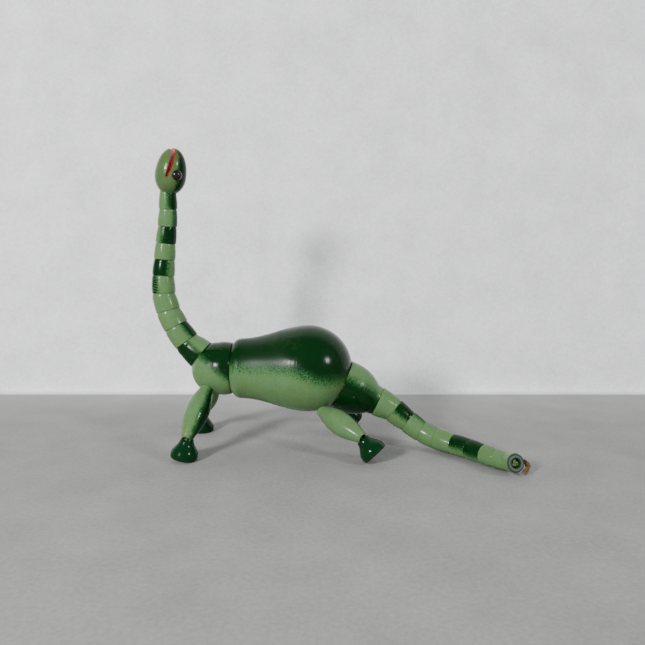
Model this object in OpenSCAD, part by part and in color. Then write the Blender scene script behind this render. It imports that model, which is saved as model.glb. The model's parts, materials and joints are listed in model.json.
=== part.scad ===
// A strung wooden dinosaur: turned beads on a cord, with ball and socket seats between them.
// The head points to -X, the tail to +X, and the toy's left side to -Y. The floor is at Z = 0.

/* [Torso] */
// Height of the torso's turning axis above the floor
axis_height = 54.9; // [50:0.1:62]
// Radius of the round rear end
torso_ball_r = 30.5; // [26:0.1:34]
// From the centre of the round rear end to the front rim
torso_front = 53.9; // [46:0.1:64]
// Radius of the front rim
torso_front_r = 17.6; // [14:0.1:20]
// Radius of the narrow front part, just behind the rim
torso_shoulder_r = 21.2; // [18:0.1:26]
// Length over which the front rim is rounded
torso_edge = 6; // [2:0.1:8]
// Radius of the shallow dome that carries the chest
torso_seat_r = 32; // [28:0.5:45]

/* [Chest] */
// Radius of the round front of the chest
chest_ball_r = 18.4; // [16:0.1:21]
// From the torso's front rim to the centre of the chest's round front
chest_reach = 10.7; // [8:0.1:16]
// How far the chest swells past its round front
chest_swell = 0.5; // [0:0.1:1.5]

/* [Beads] */
// Angle from a bead's axis to the rim of its socket
seat_angle = 68; // [60:1:72]
// Clearance between a ball end and its socket
seat_gap = 0.2; // [0.1:0.05:0.4]
// Width of the flat rim around a socket
rim_land = 0.4; // [0.3:0.1:1]
// How far the side of a bead swells
bead_swell = 0.2; // [0:0.05:0.4]

/* [Neck] */
// Radius of the ball end on the bead next to the chest
neck_base_r = 9.2; // [8:0.1:10.5]
// Radius of the ball end under the head
neck_tip_r = 5.7; // [5:0.1:7]
// Angle from the first neck bead's axis to its rim on the chest
neck_root_angle = 34.5; // [30:0.5:40]
// Length of each neck bead between joint centres, chest to head
neck_len = [25.6, 13.3, 12.5, 12.7, 12.4, 11.4, 11.5, 11.8, 11.9, 11.5]; // [9:0.1:30]
// Side view angle of each neck bead, 90 straight up and 180 straight ahead
neck_rise = [140.5, 126, 117.5, 106.5, 92, 84, 84, 81.5, 83.5, 87]; // [60:0.5:180]
// Lean of each neck bead towards the left side
neck_lean = [0, 0, 0, 0, 0, 1, 3, 5, 7, 8]; // [0:0.5:20]

/* [Head] */
// Largest radius of the head
head_r = 10.4; // [10:0.1:14]
// Height of the widest place above the joint centre
head_wide = 13; // [11:0.1:16]
// Height of the nose above the joint centre
head_len = 31.4; // [28:0.1:40]
// Half length of the round back of the head
head_back = 12.8; // [11.5:0.1:15]
// Side view angle of the head's axis
head_rise = 78.1; // [60:0.1:120]
// Lean of the head towards the left side
head_lean = 9; // [0:0.5:20]
// Turn of the head about its own axis, chin towards the left side
head_turn = 35.5; // [-60:0.5:60]
// Width of the mouth's saw cut
mouth_w = 2.5; // [2:0.1:4]
// Width of the mouth's saw cut at its inner end
mouth_end_w = 1.3; // [1:0.1:2]
// Length over which the inner end of the mouth narrows
mouth_taper = 6; // [3:0.5:10]
// Height of the mouth's inner end above the joint centre
mouth_end = 12.8; // [12:0.1:20]
// How far the inner end of the mouth lies towards the chin
mouth_chin = 5.8; // [4.6:0.1:7.5]
// How far the mouth lies towards the chin at the nose
mouth_nose = 1.7; // [0:0.1:3]
// Radius of an eye
eye_r = 3.4; // [2.5:0.05:4.5]
// Height of an eye's dome
eye_dome = 2.1; // [1.2:0.1:3]
// Depth of the pocket that holds an eye
eye_pocket = 1; // [0.8:0.1:1.5]
// Height of the eyes above the joint centre
eye_height = 14.6; // [12:0.1:18]
// Angle of an eye from the side of the head towards the crown
eye_turn = 5; // [0:1:40]
// Radius of an eye's shank
eye_shank_r = 0.8; // [0.5:0.1:1.2]
// Length of an eye's shank
eye_shank = 3.5; // [2:0.5:5]

/* [Tail] */
// Angle from the first tail bead's axis to its rim on the torso
tail_root_angle = 34.3; // [30:0.1:38]
// Radius of the ball end of each tail bead, torso to tip
tail_r = [10.8, 9.1, 8.1, 7.7, 7.4, 7, 6.7, 6.3, 6, 5.7]; // [4:0.1:12]
// Length of each tail bead between joint centres, the last to its end face
tail_len = [50.3, 14, 13.1, 11.9, 10.9, 13.4, 12, 12, 9.6, 9.2, 12.6]; // [8:0.1:55]
// Lift of the tail beads that are clear of the floor, torso to tip
tail_lift = [-26, -25, -35.5, -32.5, -20]; // [-60:0.5:30]
// Turn of each tail bead about the vertical, negative to the left side
tail_turn = [0, -8, -17, -26, -31, -37, -46, -53, -55, -52, -79]; // [-120:1:60]
// How sharply the first tail bead closes towards its ball end
tail_root_power = 2.6; // [1:0.1:4]
// Extra swell of the first tail bead
tail_root_swell = 0.4; // [0:0.1:1]
// Lift of the loose end bead
tip_lift = 14; // [0:1:20]
// Angle from the end bead's axis to the rim of its socket
tip_seat_angle = 38; // [34:1:40]
// Radius of the end bead
tip_r = 5.9; // [5:0.1:7]
// Radius of the rounding at the end bead's edges
tip_edge = 1.2; // [0.4:0.1:1.5]
// Radius of the recess that holds the end knot
tip_recess_r = 2.9; // [2.4:0.1:3.5]
// Depth of the recess that holds the end knot
tip_recess = 3.4; // [2.5:0.1:4.5]

/* [Legs] */
// Length of a front leg between hip and ankle centres
front_leg_len = 34.2; // [31:0.1:38]
// Length of a rear leg between hip and ankle centres
rear_leg_len = 34.2; // [32:0.1:38]
// Radius of the ball at a leg's hip end
hip_r = 4.6; // [4:0.1:5.5]
// Radius of the ball at a leg's ankle end
ankle_r = 4.5; // [4:0.1:5.5]
// How far the middle of a leg swells
leg_swell = 3.6; // [1:0.1:4]
// How far a front hip centre stands off the chest
front_stand = 1.6; // [1:0.1:2.5]
// Angle of a front hip from straight down towards the side
front_spread = 45.5; // [35:0.5:60]
// Angle of a front hip from straight down towards the head
front_ahead = 18.5; // [0:0.5:30]
// Turn of the left and the right front leg from straight ahead towards the side
front_turn = [73, 56]; // [50:1:80]
// How far a rear hip centre stands off the torso
rear_stand = 2.8; // [2:0.1:3.5]
// Angle of a rear hip from straight down towards the side
rear_spread = 28; // [20:0.5:45]
// Angle of a rear hip from straight down towards the tail
rear_behind = 18; // [0:0.5:30]
// Turn of the left and the right rear leg from straight behind towards the side
rear_turn = [46, 59]; // [40:1:65]

/* [Feet] */
// Length of a foot from its ankle centre to its sole
foot_len = 16.2; // [14.5:0.1:18]
// Largest radius of a foot
foot_r = 8.8; // [8:0.1:10]
// Radius of a foot at its socket rim
foot_neck_r = 4.4; // [4.2:0.1:5.5]
// Height of a foot's flared rim
foot_band = 2.2; // [1:0.1:4]
// Radius of the rounding at the sole's edge
sole_edge = 1.2; // [0.5:0.1:2]
// Angle from a foot's axis to the rim of its socket
foot_seat_angle = 46; // [42:1:50]
// Dip of the left and the right front foot's axis below the horizontal
front_foot_dip = [78, 90]; // [70:1:90]
// Turn of a front foot's axis from straight ahead towards the side
front_foot_turn = 0; // [0:1:60]
// Dip of a rear foot's axis below the horizontal
rear_foot_dip = 45; // [35:1:60]
// Turn of the left and the right rear foot's axis towards the side
rear_foot_turn = [20, 55]; // [15:1:70]

/* [Cord] */
// Radius of the cords
cord_r = 0.85; // [0.5:0.05:1]
// Radius of the cord bore in the beads
bore_r = 2.3; // [2:0.05:2.6]
// Radius of the flared mouths of the bores
flare_r = 3.2; // [2.8:0.1:3.4]
// Depth of the flared mouths of the bores
flare_depth = 3; // [2:0.1:4]
// Radius of the small bores that stop a knot
stop_r = 1.3; // [1.1:0.05:1.5]
// Length at each leg's lower end over which its cord swings out of the middle of the bore
cord_bend = 8; // [6:0.5:12]
// How far the front leg cord is lifted where it passes over the spine cord
cord_lift = 1; // [0:0.1:1.5]
// Radius of the cord bore in the legs
leg_bore_r = 1.9; // [1.6:0.05:2.2]
// Radius of a knot
knot_r = 1.9; // [1.6:0.1:2.2]
// Radius of the loose strand that comes out behind the end bead
strand_r = 0.6; // [0.4:0.05:0.7]
// How far the loose strand stands out past the side of the end bead
fray_out = 1.9; // [1.5:0.1:4]
// How much thicker the frayed end of the loose strand is than the strand
fray_swell = 1.4; // [1:0.1:1.6]
// Radius of the plug that holds the cord in the head
plug_r = 3.2; // [2.8:0.1:3.6]
// Length of the plug in the head
plug_len = 4; // [3:0.5:5]

/* [Hidden] */
$fn = 72;

light_green = [0.44, 0.58, 0.41];
dark_green = [0.02, 0.24, 0.12];
foot_green = [0.02, 0.18, 0.1];
cord_tan = [0.62, 0.42, 0.16];
eye_brown = [0.12, 0.07, 0.04];

neck_count = len(neck_len);
tail_count = len(tail_len);
lifted = len(tail_lift);
past = 1;

function unit(v) = v / norm(v);
function side_dir(rise, lean) = [cos(rise) * cos(lean), -sin(lean), sin(rise) * cos(lean)];
function floor_dir(lift, turn) = [cos(lift) * cos(turn), cos(lift) * sin(turn), sin(lift)];

// The torso's joint centres
torso_ball = [0, 0, axis_height];
torso_dome = sqrt(pow(torso_seat_r, 2) - pow(torso_front_r, 2));
chest_joint = torso_ball - [torso_front - torso_dome, 0, 0];
chest_ball = torso_ball - [torso_front + chest_reach, 0, 0];
chest_socket_r = torso_seat_r + seat_gap;
chest_mouth_r = torso_front_r - 0.1;
chest_rim = sqrt(pow(chest_socket_r, 2) - pow(chest_mouth_r, 2));

// The neck's joint centres and ball ends, counted from the chest
function neck_dir(i) = i < neck_count ? side_dir(neck_rise[i], neck_lean[i])
    : side_dir(head_rise, head_lean);
function neck_joint(i) = i == 0 ? chest_ball : neck_joint(i - 1) + neck_len[i - 1] * neck_dir(i - 1);
function neck_ball_r(i) = i < 0 ? chest_ball_r
    : neck_base_r + (neck_tip_r - neck_base_r) * i / (neck_count - 1);

// The tail's joint centres, counted from the torso: past the lifted beads each ball end is on the floor
function tail_ball_r(i) = i < 0 ? torso_ball_r : tail_r[i];
function floor_lift(i) = asin((tail_ball_r(i) + bead_swell - tail_joint(i)[2]) / tail_len[i]);
function tail_angle(i) = i < lifted ? tail_lift[i] : i == tail_count - 1 ? tip_lift : floor_lift(i);
function tail_dir(i) = floor_dir(tail_angle(i), tail_turn[i]);
function tail_joint(i) = i == 0 ? torso_ball : tail_joint(i - 1) + tail_len[i - 1] * tail_dir(i - 1);

// The hips: left side ones, on the chest's round front and on the torso's round rear
front_hip = chest_ball + (chest_ball_r + front_stand)
    * [-sin(front_ahead), -cos(front_ahead) * sin(front_spread), -cos(front_ahead) * cos(front_spread)];
rear_hip = torso_ball + (torso_ball_r + rear_stand)
    * [sin(rear_behind), -cos(rear_behind) * sin(rear_spread), -cos(rear_behind) * cos(rear_spread)];

// The legs drop as far as puts the edges of the soles on the floor
function ankle_z(dip) = (foot_len - sole_edge) * sin(dip) + (foot_r - sole_edge) * cos(dip) + sole_edge;
function leg_drop(hip, length, dip) = asin((ankle_z(dip) - hip[2]) / length);
function front_leg_dir(k) =
    floor_dir(leg_drop(front_hip, front_leg_len, front_foot_dip[k]), 180 + front_turn[k]);
function rear_leg_dir(k) =
    floor_dir(leg_drop(rear_hip, rear_leg_len, rear_foot_dip), -rear_turn[k]);
function front_foot_dir(k) = floor_dir(-front_foot_dip[k], 180 + front_foot_turn);
function rear_foot_dir(k) = floor_dir(-rear_foot_dip, -rear_foot_turn[k]);
function front_ankle(k) = front_hip + front_leg_len * front_leg_dir(k);
function rear_ankle(k) = rear_hip + rear_leg_len * rear_leg_dir(k);

// The hip bores are the same on both sides, and run midway between the two legs' directions
front_bore_dir = unit(front_leg_dir(0) + front_leg_dir(1));
rear_bore_dir = unit(rear_leg_dir(0) + rear_leg_dir(1));

// The loose strand: out of the last ball's bore on the open side of the end bead's seat, and down its side
tip_dir = tail_dir(tail_count - 1);
last_dir = tail_dir(tail_count - 2);
strand_side = -across(tip_dir, last_dir);
tip_right = unit(cross([0, 0, 1], tip_dir));
tip_up = cross(tip_dir, tip_right);
loose_reach = tip_r + fray_out;
function from_bore(p) = tail_joint(tail_count - 1) + p[0] * last_dir + p[1] * strand_side;
function beside_tip(p) = tail_joint(tail_count - 1) + p[0] * tip_dir + p[1] * tip_right + p[2] * tip_up;
loose_points = concat(
    [for (p = [[1, 1.2], [5.4, 1.5]]) from_bore(p)],
    [for (p = [
        [3.9, loose_reach - 1.4, -0.6], [5.1, loose_reach - 0.2, 0.6],
        [5.8, loose_reach - 0.5, -1.9], [6.2, loose_reach - 2.9, -4.9]
    ]) beside_tip(p)]
);
loose_swell = [1, 1, 1, 1.1, (1 + fray_swell) / 2, fray_swell];

// The middle of the whole object, which stands over the origin
neck_front = min([for (i = [1:neck_count]) neck_joint(i)[0] - neck_ball_r(i - 1)]);
tip_face = tail_joint(tail_count);
tip_reach_x = max([for (p = loose_points) p[0]]) + strand_r * fray_swell;
tip_reach_y = tip_face[1] - (tip_r - tip_edge) * abs(sin(tip_lift));
foot_reach_y = -(rear_ankle(1) + foot_len * rear_foot_dir(1))[1]
    + (foot_r - sole_edge / 2) * abs(rear_foot_dir(1)[2]);
middle = [(neck_front + tip_reach_x) / 2, (tip_reach_y + foot_reach_y) / 2, 0];

module placed() translate(-middle) children();

// Turns +Z to a direction
module aimed(centre, dir) {
    translate(centre)
        rotate([0, acos(dir[2] / norm(dir)), atan2(dir[1], dir[0])])
            children();
}

// Side 0 is the left side, and side 1 is its mirror image
module mirrored(side) mirror([0, side, 0]) children();

// A turned side from one radius to another, with a soft swell, as points up from z0 to z1
side_steps = 10;
function side_r(t, r0, r1, power, swell) = r0 + (r1 - r0) * pow(t, power) + swell * sin(180 * t);
function side_points(z0, z1, r0, r1, power, swell, steps = side_steps) = [
    for (k = [0:steps]) let (t = k / steps)
        [side_r(t, r0, r1, power, swell), z0 + (z1 - z0) * t]
];

module turned(points) {
    bottom = points[0][1];
    top = points[len(points) - 1][1];
    rotate_extrude() polygon(concat([[0, bottom]], points, [[0, top]]));
}

module bore(z0, z1, r) translate([0, 0, z0]) cylinder(r = r, h = z1 - z0);

module flare(z0, z1, r0, r1) translate([0, 0, z0]) cylinder(r1 = r0, r2 = r1, h = z1 - z0);

// The flared mouth of a cord bore that ends at height z
module bore_mouth(z)
    flare(z - flare_depth, z + past, bore_r, flare_r + past * (flare_r - bore_r) / flare_depth);

// One bead, from the joint centre of its socket at the origin to its own ball end up the Z axis
module bead(inner_r, outer_r, length, angle, power = 1, swell = 0) {
    socket_r = inner_r + seat_gap;
    rim_z = socket_r * cos(angle);
    rim_r = socket_r * sin(angle) + rim_land;
    bevel = rim_land / 2;
    side = side_points(rim_z + bevel, length, rim_r, outer_r, power, bead_swell + swell);
    difference() {
        union() {
            turned(concat([[rim_r - bevel, rim_z]], side));
            translate([0, 0, length]) sphere(r = outer_r);
        }
        sphere(r = socket_r);
        bore(rim_z - past, length + outer_r + past, bore_r);
        mirror([0, 0, 1]) bore_mouth(-socket_r);
        bore_mouth(length + outer_r);
    }
}

module neck_bead(i) {
    color(i % 2 == 0 ? dark_green : light_green)
        placed() aimed(neck_joint(i), neck_dir(i))
            bead(neck_ball_r(i - 1), neck_ball_r(i), neck_len[i], i == 0 ? neck_root_angle : seat_angle);
}

module tail_bead(i) {
    color(i % 2 == 1 ? light_green : dark_green)
        placed() aimed(tail_joint(i), tail_dir(i))
            if (i == 0)
                bead(torso_ball_r, tail_r[0], tail_len[0], tail_root_angle, tail_root_power, tail_root_swell);
            else
                bead(tail_r[i - 1], tail_r[i], tail_len[i], seat_angle);
}

// The end bead: a short drum with a funnel for the cord and a recess for the knot
module tip_bead() {
    last = tail_count - 1;
    socket_r = tail_r[last - 1] + seat_gap;
    base = socket_r * cos(tip_seat_angle);
    length = tail_len[last];
    color(light_green) placed() aimed(tail_joint(last), tail_dir(last))
        difference() {
            turned([
                [tip_r - tip_edge, base], [tip_r - tip_edge * 0.3, base + tip_edge * 0.3],
                [tip_r, base + tip_edge], [tip_r, length - tip_edge],
                [tip_r - tip_edge * 0.3, length - tip_edge * 0.3], [tip_r - tip_edge, length]
            ]);
            sphere(r = socket_r);
            flare(socket_r - past, length - tip_recess, flare_r + 0.4, stop_r);
            bore(base, length + past, stop_r);
            bore(length - tip_recess, length + past, tip_recess_r);
        }
}

// The torso: a pear with a ball for its rear end and a shallow dome in front
torso_steps = 20;
torso_side = torso_front - torso_edge;
function torso_r(x) = torso_shoulder_r
    + (torso_ball_r - torso_shoulder_r) * (1 - cos(180 * (x + torso_side) / torso_side)) / 2;
edge_steps = 6;
torso_points = concat(
    [for (k = [0:edge_steps - 1]) let (s = k / edge_steps)
        [torso_front_r + (torso_shoulder_r - torso_front_r) * (2 * s - s * s), -torso_front + torso_edge * s]],
    [for (k = [0:torso_steps]) let (x = torso_side * (k / torso_steps - 1)) [torso_r(x), x]]
);

torso_apex = torso_front + torso_seat_r - torso_dome;

module torso() {
    color(dark_green) placed() translate(torso_ball) difference() {
        rotate([0, 90, 0]) rotate_extrude() {
            polygon(concat([[0, -torso_front]], torso_points, [[0, 0]]));
            intersection() {
                circle(r = torso_ball_r);
                square([torso_ball_r, torso_ball_r]);
            }
            intersection() {
                translate([0, torso_dome - torso_front]) circle(r = torso_seat_r);
                translate([0, -torso_apex]) square([torso_seat_r, torso_apex - torso_front]);
            }
        }
        rotate([0, -90, 0]) {
            bore(-past, torso_apex + past, bore_r);
            bore_mouth(torso_apex);
        }
        aimed([0, 0, 0], tail_dir(0)) {
            bore(-past, torso_ball_r + past, bore_r);
            bore_mouth(torso_ball_r);
        }
        for (side = [0, 1]) mirrored(side) hip_cuts(rear_hip - torso_ball, rear_bore_dir);
    }
}

// A hip's dimple, and the bore that runs on from it to the middle plane
function hip_run(hip, dir) = hip[1] / dir[1];
module hip_cuts(hip, dir) {
    translate(hip) sphere(r = hip_r + seat_gap);
    aimed(hip, -dir) bore(0, hip_run(hip, dir) + leg_bore_r, leg_bore_r);
}

// The chest: a ball in front and a socket behind, which sits on the torso's dome
module chest() {
    length = norm(chest_joint - chest_ball);
    bevel = rim_land * 2;
    rim_r = chest_mouth_r + rim_land;
    side = side_points(chest_rim + bevel, length, rim_r + bevel / 2, chest_ball_r, 1, chest_swell);
    color(dark_green) placed() difference() {
        translate(chest_joint) rotate([0, -90, 0]) difference() {
            union() {
                turned(concat([[rim_r, chest_rim]], side));
                translate([0, 0, length]) sphere(r = chest_ball_r);
            }
            sphere(r = chest_socket_r);
            bore(chest_rim, length + past, bore_r);
            mirror([0, 0, 1]) bore_mouth(-chest_socket_r);
        }
        aimed(chest_ball, neck_dir(0)) {
            bore(-past, chest_ball_r + past, bore_r);
            bore_mouth(chest_ball_r);
        }
        for (side = [0, 1]) mirrored(side) hip_cuts(front_hip, front_bore_dir);
    }
}

// The head: an egg, nose up, with its socket on the last neck bead
head_socket_r = neck_tip_r + seat_gap;
head_rim = head_socket_r * cos(seat_angle);
head_steps = 14;
nose_power = 1 / 2.1;
function back_r(z) = head_r * sqrt(1 - pow((head_wide - z) / head_back, 2));
function nose_r(z) = head_r * pow(max(0, 1 - pow((z - head_wide) / (head_len - head_wide), 2)), nose_power);
head_points = concat(
    [for (k = [0:head_steps - 1]) let (z = head_rim + (head_wide - head_rim) * (1 - cos(90 * k / head_steps)))
        [max(back_r(z), head_socket_r * sin(seat_angle) + rim_land), z]],
    [for (k = [0:head_steps - 1])
        let (z = head_wide + (head_len - head_wide) * sin(90 * k / head_steps)) [nose_r(z), z]]
);
chamber_top = head_socket_r + 0.3 + plug_len + 2 * knot_r + 1;

module on_head() {
    placed() translate(neck_joint(neck_count))
        rotate([0, 90 - head_rise, 0]) rotate([head_lean, 0, 0]) rotate([0, 0, head_turn]) children();
}

// An eye's place: its axis is +Z and its pocket's floor is at Z = 0
module at_eye(side) {
    mirrored(side) translate([0, 0, eye_height]) rotate([0, 0, eye_turn - 90])
        rotate([0, 90, 0]) translate([0, 0, nose_r(eye_height) - eye_pocket]) children();
}

module mouth() {
    top = head_len + past;
    slant = (mouth_chin - mouth_nose) / (head_len - mouth_end);
    top_x = (top - head_len) * slant - mouth_nose;
    wide_x = mouth_taper * slant - mouth_chin;
    rotate([90, 0, 0]) linear_extrude(height = 2 * head_r + 2, center = true) union() {
        polygon([
            [-mouth_chin - mouth_end_w / 2, mouth_end], [-mouth_chin + mouth_end_w / 2, mouth_end],
            [wide_x + mouth_w / 2, mouth_end + mouth_taper], [top_x + mouth_w / 2, top],
            [top_x - mouth_w / 2, top], [wide_x - mouth_w / 2, mouth_end + mouth_taper]
        ]);
        translate([-mouth_chin, mouth_end]) circle(d = mouth_end_w);
    }
}

module head() {
    color(light_green) on_head() difference() {
        turned(head_points);
        sphere(r = head_socket_r);
        bore(head_rim, chamber_top, plug_r);
        mouth();
        for (side = [0, 1]) at_eye(side) {
            cylinder(r = eye_r + seat_gap / 2, h = 2 * eye_pocket + eye_dome);
            translate([0, 0, -eye_shank - seat_gap])
                cylinder(r = eye_shank_r + seat_gap / 2, h = eye_shank + past);
        }
    }
}

// The plug that is pressed in under the knot
module head_plug() {
    color("burlywood") on_head() difference() {
        bore(head_socket_r + 0.3, head_socket_r + 0.3 + plug_len, plug_r);
        bore(0, chamber_top, stop_r);
    }
}

module eye(side) {
    dome_r = (pow(eye_r, 2) + pow(eye_dome, 2)) / (2 * eye_dome);
    color(eye_brown) on_head() at_eye(side) {
        cylinder(r = eye_r, h = eye_pocket);
        translate([0, 0, -eye_shank]) cylinder(r = eye_shank_r, h = eye_shank + eye_pocket / 2);
        intersection() {
            translate([0, 0, eye_pocket + eye_dome - dome_r]) sphere(r = dome_r);
            cylinder(r = eye_r, h = eye_pocket + eye_dome + past);
        }
    }
}

// A leg: a spindle from the hip's ball at the origin down to the ankle's ball up the Z axis
module leg(side, hip, dir, length) {
    color(light_green) placed() mirrored(side) aimed(hip, dir) difference() {
        union() {
            turned(side_points(0, length, hip_r, ankle_r, 1, leg_swell, 2 * side_steps));
            sphere(r = hip_r);
            translate([0, 0, length]) sphere(r = ankle_r);
        }
        bore(-hip_r - past, length + ankle_r + past, leg_bore_r);
        flare(length - 0.5, length + ankle_r, leg_bore_r, flare_r - 0.2);
    }
}

// A foot: a bell from the ankle's centre at the origin to the sole up the Z axis
foot_socket_r = ankle_r + seat_gap;
foot_rim = foot_socket_r * cos(foot_seat_angle);
foot_flare = foot_len - foot_band - sole_edge;
foot_steps = 12;
foot_points = concat(
    [[foot_neck_r - 0.3, foot_rim]],
    [for (k = [0:foot_steps]) let (t = k / foot_steps)
        [foot_neck_r + (foot_r - foot_neck_r) * (1 - cos(180 * t)) / 2,
            foot_rim + 0.4 + (foot_flare - foot_rim - 0.4) * t]],
    [for (a = [0:22.5:90]) [foot_r - sole_edge + sole_edge * cos(a), foot_len - sole_edge + sole_edge * sin(a)]]
);
sole_recess = 2 * knot_r + 0.4;

module foot(side, ankle, dir) {
    color(foot_green) placed() mirrored(side) aimed(ankle, dir) difference() {
        turned(foot_points);
        sphere(r = foot_socket_r);
        flare(foot_socket_r - past, foot_socket_r + 2 * flare_depth, flare_r, stop_r);
        bore(foot_rim, foot_len + past, stop_r);
        bore(foot_len - sole_recess, foot_len + past, knot_r + 0.6);
    }
}

// A cord as one tube of eight sides along its points, each with its own radius
cord_sides = 8;
function tangent(pts, i) = unit(
    (i < len(pts) - 1 ? unit(pts[i + 1] - pts[i]) : [0, 0, 0]) + (i > 0 ? unit(pts[i] - pts[i - 1]) : [0, 0, 0])
);
function across(v, t) = unit(v - (v * t) * t);
function carried(pts, i) = across(i == 0 ? [0.3, 0.2, 1] : carried(pts, i - 1), tangent(pts, i));
function ring(pts, radii, i) = let (t = tangent(pts, i), n = carried(pts, i), b = cross(t, n)) [
    for (k = [0:cord_sides - 1]) let (a = 360 * k / cord_sides) pts[i] + radii[i] * (cos(a) * n + sin(a) * b)
];

module cord(pts, radii) {
    last = len(pts) - 1;
    n = cord_sides;
    color(cord_tan) placed() polyhedron(
        points = [for (i = [0:last]) each ring(pts, radii, i)],
        faces = concat(
            [[for (k = [0:n - 1]) k]],
            [for (i = [0:last - 1], k = [0:n - 1]) let (a = i * n + k, b = i * n + (k + 1) % n)
                each [[a, a + n, b], [b, a + n, b + n]]],
            [[for (k = [n - 1:-1:0]) last * n + k]]
        ));
}

// Where a cord crosses a seat: on the ball, midway between the two bores
function crossing(centre, r, d0, d1) = centre + (r + seat_gap / 2) * unit(d0 + d1);

// A knot's offsets along the cord and its radii
knot_z = [-1.6, -1.1, 0, 1.1, 1.6];
knot_radii = [cord_r, knot_r * 0.85, knot_r, knot_r * 0.85, cord_r];

head_dir = neck_dir(neck_count);
head_knot = neck_joint(neck_count) + (head_socket_r + 0.3 + plug_len + knot_r) * head_dir;
tip_knot = tip_face - (tip_recess + knot_z[0]) * tip_dir;

spine_points = concat(
    [for (z = knot_z) head_knot - z * head_dir],
    [for (i = [neck_count:-1:1]) crossing(neck_joint(i), neck_ball_r(i - 1), neck_dir(i - 1), neck_dir(i))],
    [chest_ball, torso_ball],
    [for (i = [1:tail_count - 1]) crossing(tail_joint(i), tail_ball_r(i - 1), tail_dir(i - 1), tail_dir(i))],
    [tip_knot - (knot_r + 1) * tip_dir],
    [for (z = knot_z) tip_knot + z * tip_dir]
);
spine_radii = concat(
    knot_radii,
    [for (i = [1:neck_count + tail_count + 2]) cord_r],
    knot_radii
);

module spine_cord() cord(spine_points, spine_radii);

module frayed_end() cord(loose_points, [for (s = loose_swell) s * strand_r]);

// Half of a leg cord: from its knot in the sole up to the middle plane
function half_leg_cord(hip, bore_dir, dir, length, foot_dir) = let (ankle = hip + length * dir) concat(
    [for (z = knot_z) ankle + (foot_len - 0.4 - knot_r - z) * foot_dir],
    [ankle + (foot_socket_r + flare_depth + 0.5) * foot_dir],
    [crossing(ankle, ankle_r, dir, foot_dir)],
    [hip + (length - cord_bend) * dir],
    [crossing(hip, hip_r, -bore_dir, -dir)]
);
function flipped(pts) = [for (i = [len(pts) - 1:-1:0]) [pts[i][0], -pts[i][1], pts[i][2]]];
function apex(hip, dir) = hip - hip_run(hip, dir) * dir;
leg_cord_radii = concat(knot_radii, [for (i = [1:9]) cord_r], knot_radii);

module front_leg_cord() {
    half = [for (k = [0, 1])
        half_leg_cord(front_hip, front_bore_dir, front_leg_dir(k), front_leg_len, front_foot_dir(k))];
    top = apex(front_hip, front_bore_dir) + [0, 0, cord_lift];
    cord(concat(half[0], [top], flipped(half[1])), leg_cord_radii);
}

module rear_leg_cord() {
    half = [for (k = [0, 1])
        half_leg_cord(rear_hip, rear_bore_dir, rear_leg_dir(k), rear_leg_len, rear_foot_dir(k))];
    cord(concat(half[0], [apex(rear_hip, rear_bore_dir)], flipped(half[1])), leg_cord_radii);
}

torso();
chest();
head();
head_plug();
eye(0);  // left_eye
eye(1);  // right_eye
neck_bead(0);  // neck_bead_01
neck_bead(1);  // neck_bead_02
neck_bead(2);  // neck_bead_03
neck_bead(3);  // neck_bead_04
neck_bead(4);  // neck_bead_05
neck_bead(5);  // neck_bead_06
neck_bead(6);  // neck_bead_07
neck_bead(7);  // neck_bead_08
neck_bead(8);  // neck_bead_09
neck_bead(9);  // neck_bead_10
tail_bead(0);  // tail_bead_01
tail_bead(1);  // tail_bead_02
tail_bead(2);  // tail_bead_03
tail_bead(3);  // tail_bead_04
tail_bead(4);  // tail_bead_05
tail_bead(5);  // tail_bead_06
tail_bead(6);  // tail_bead_07
tail_bead(7);  // tail_bead_08
tail_bead(8);  // tail_bead_09
tail_bead(9);  // tail_bead_10
tip_bead();  // tail_bead_11
leg(0, front_hip, front_leg_dir(0), front_leg_len);  // front_left_leg
leg(1, front_hip, front_leg_dir(1), front_leg_len);  // front_right_leg
leg(0, rear_hip, rear_leg_dir(0), rear_leg_len);  // rear_left_leg
leg(1, rear_hip, rear_leg_dir(1), rear_leg_len);  // rear_right_leg
foot(0, front_ankle(0), front_foot_dir(0));  // front_left_foot
foot(1, front_ankle(1), front_foot_dir(1));  // front_right_foot
foot(0, rear_ankle(0), rear_foot_dir(0));  // rear_left_foot
foot(1, rear_ankle(1), rear_foot_dir(1));  // rear_right_foot
spine_cord();
frayed_end();
front_leg_cord();
rear_leg_cord();
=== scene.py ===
"""Dresses a strung wooden dinosaur for rendering.

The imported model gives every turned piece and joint. This file paints the pieces with sprayed enamel,
strings them on twisted cords with their knots, and sets them on a plain pale stage.
Everything is in metres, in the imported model's frame.
"""

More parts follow.
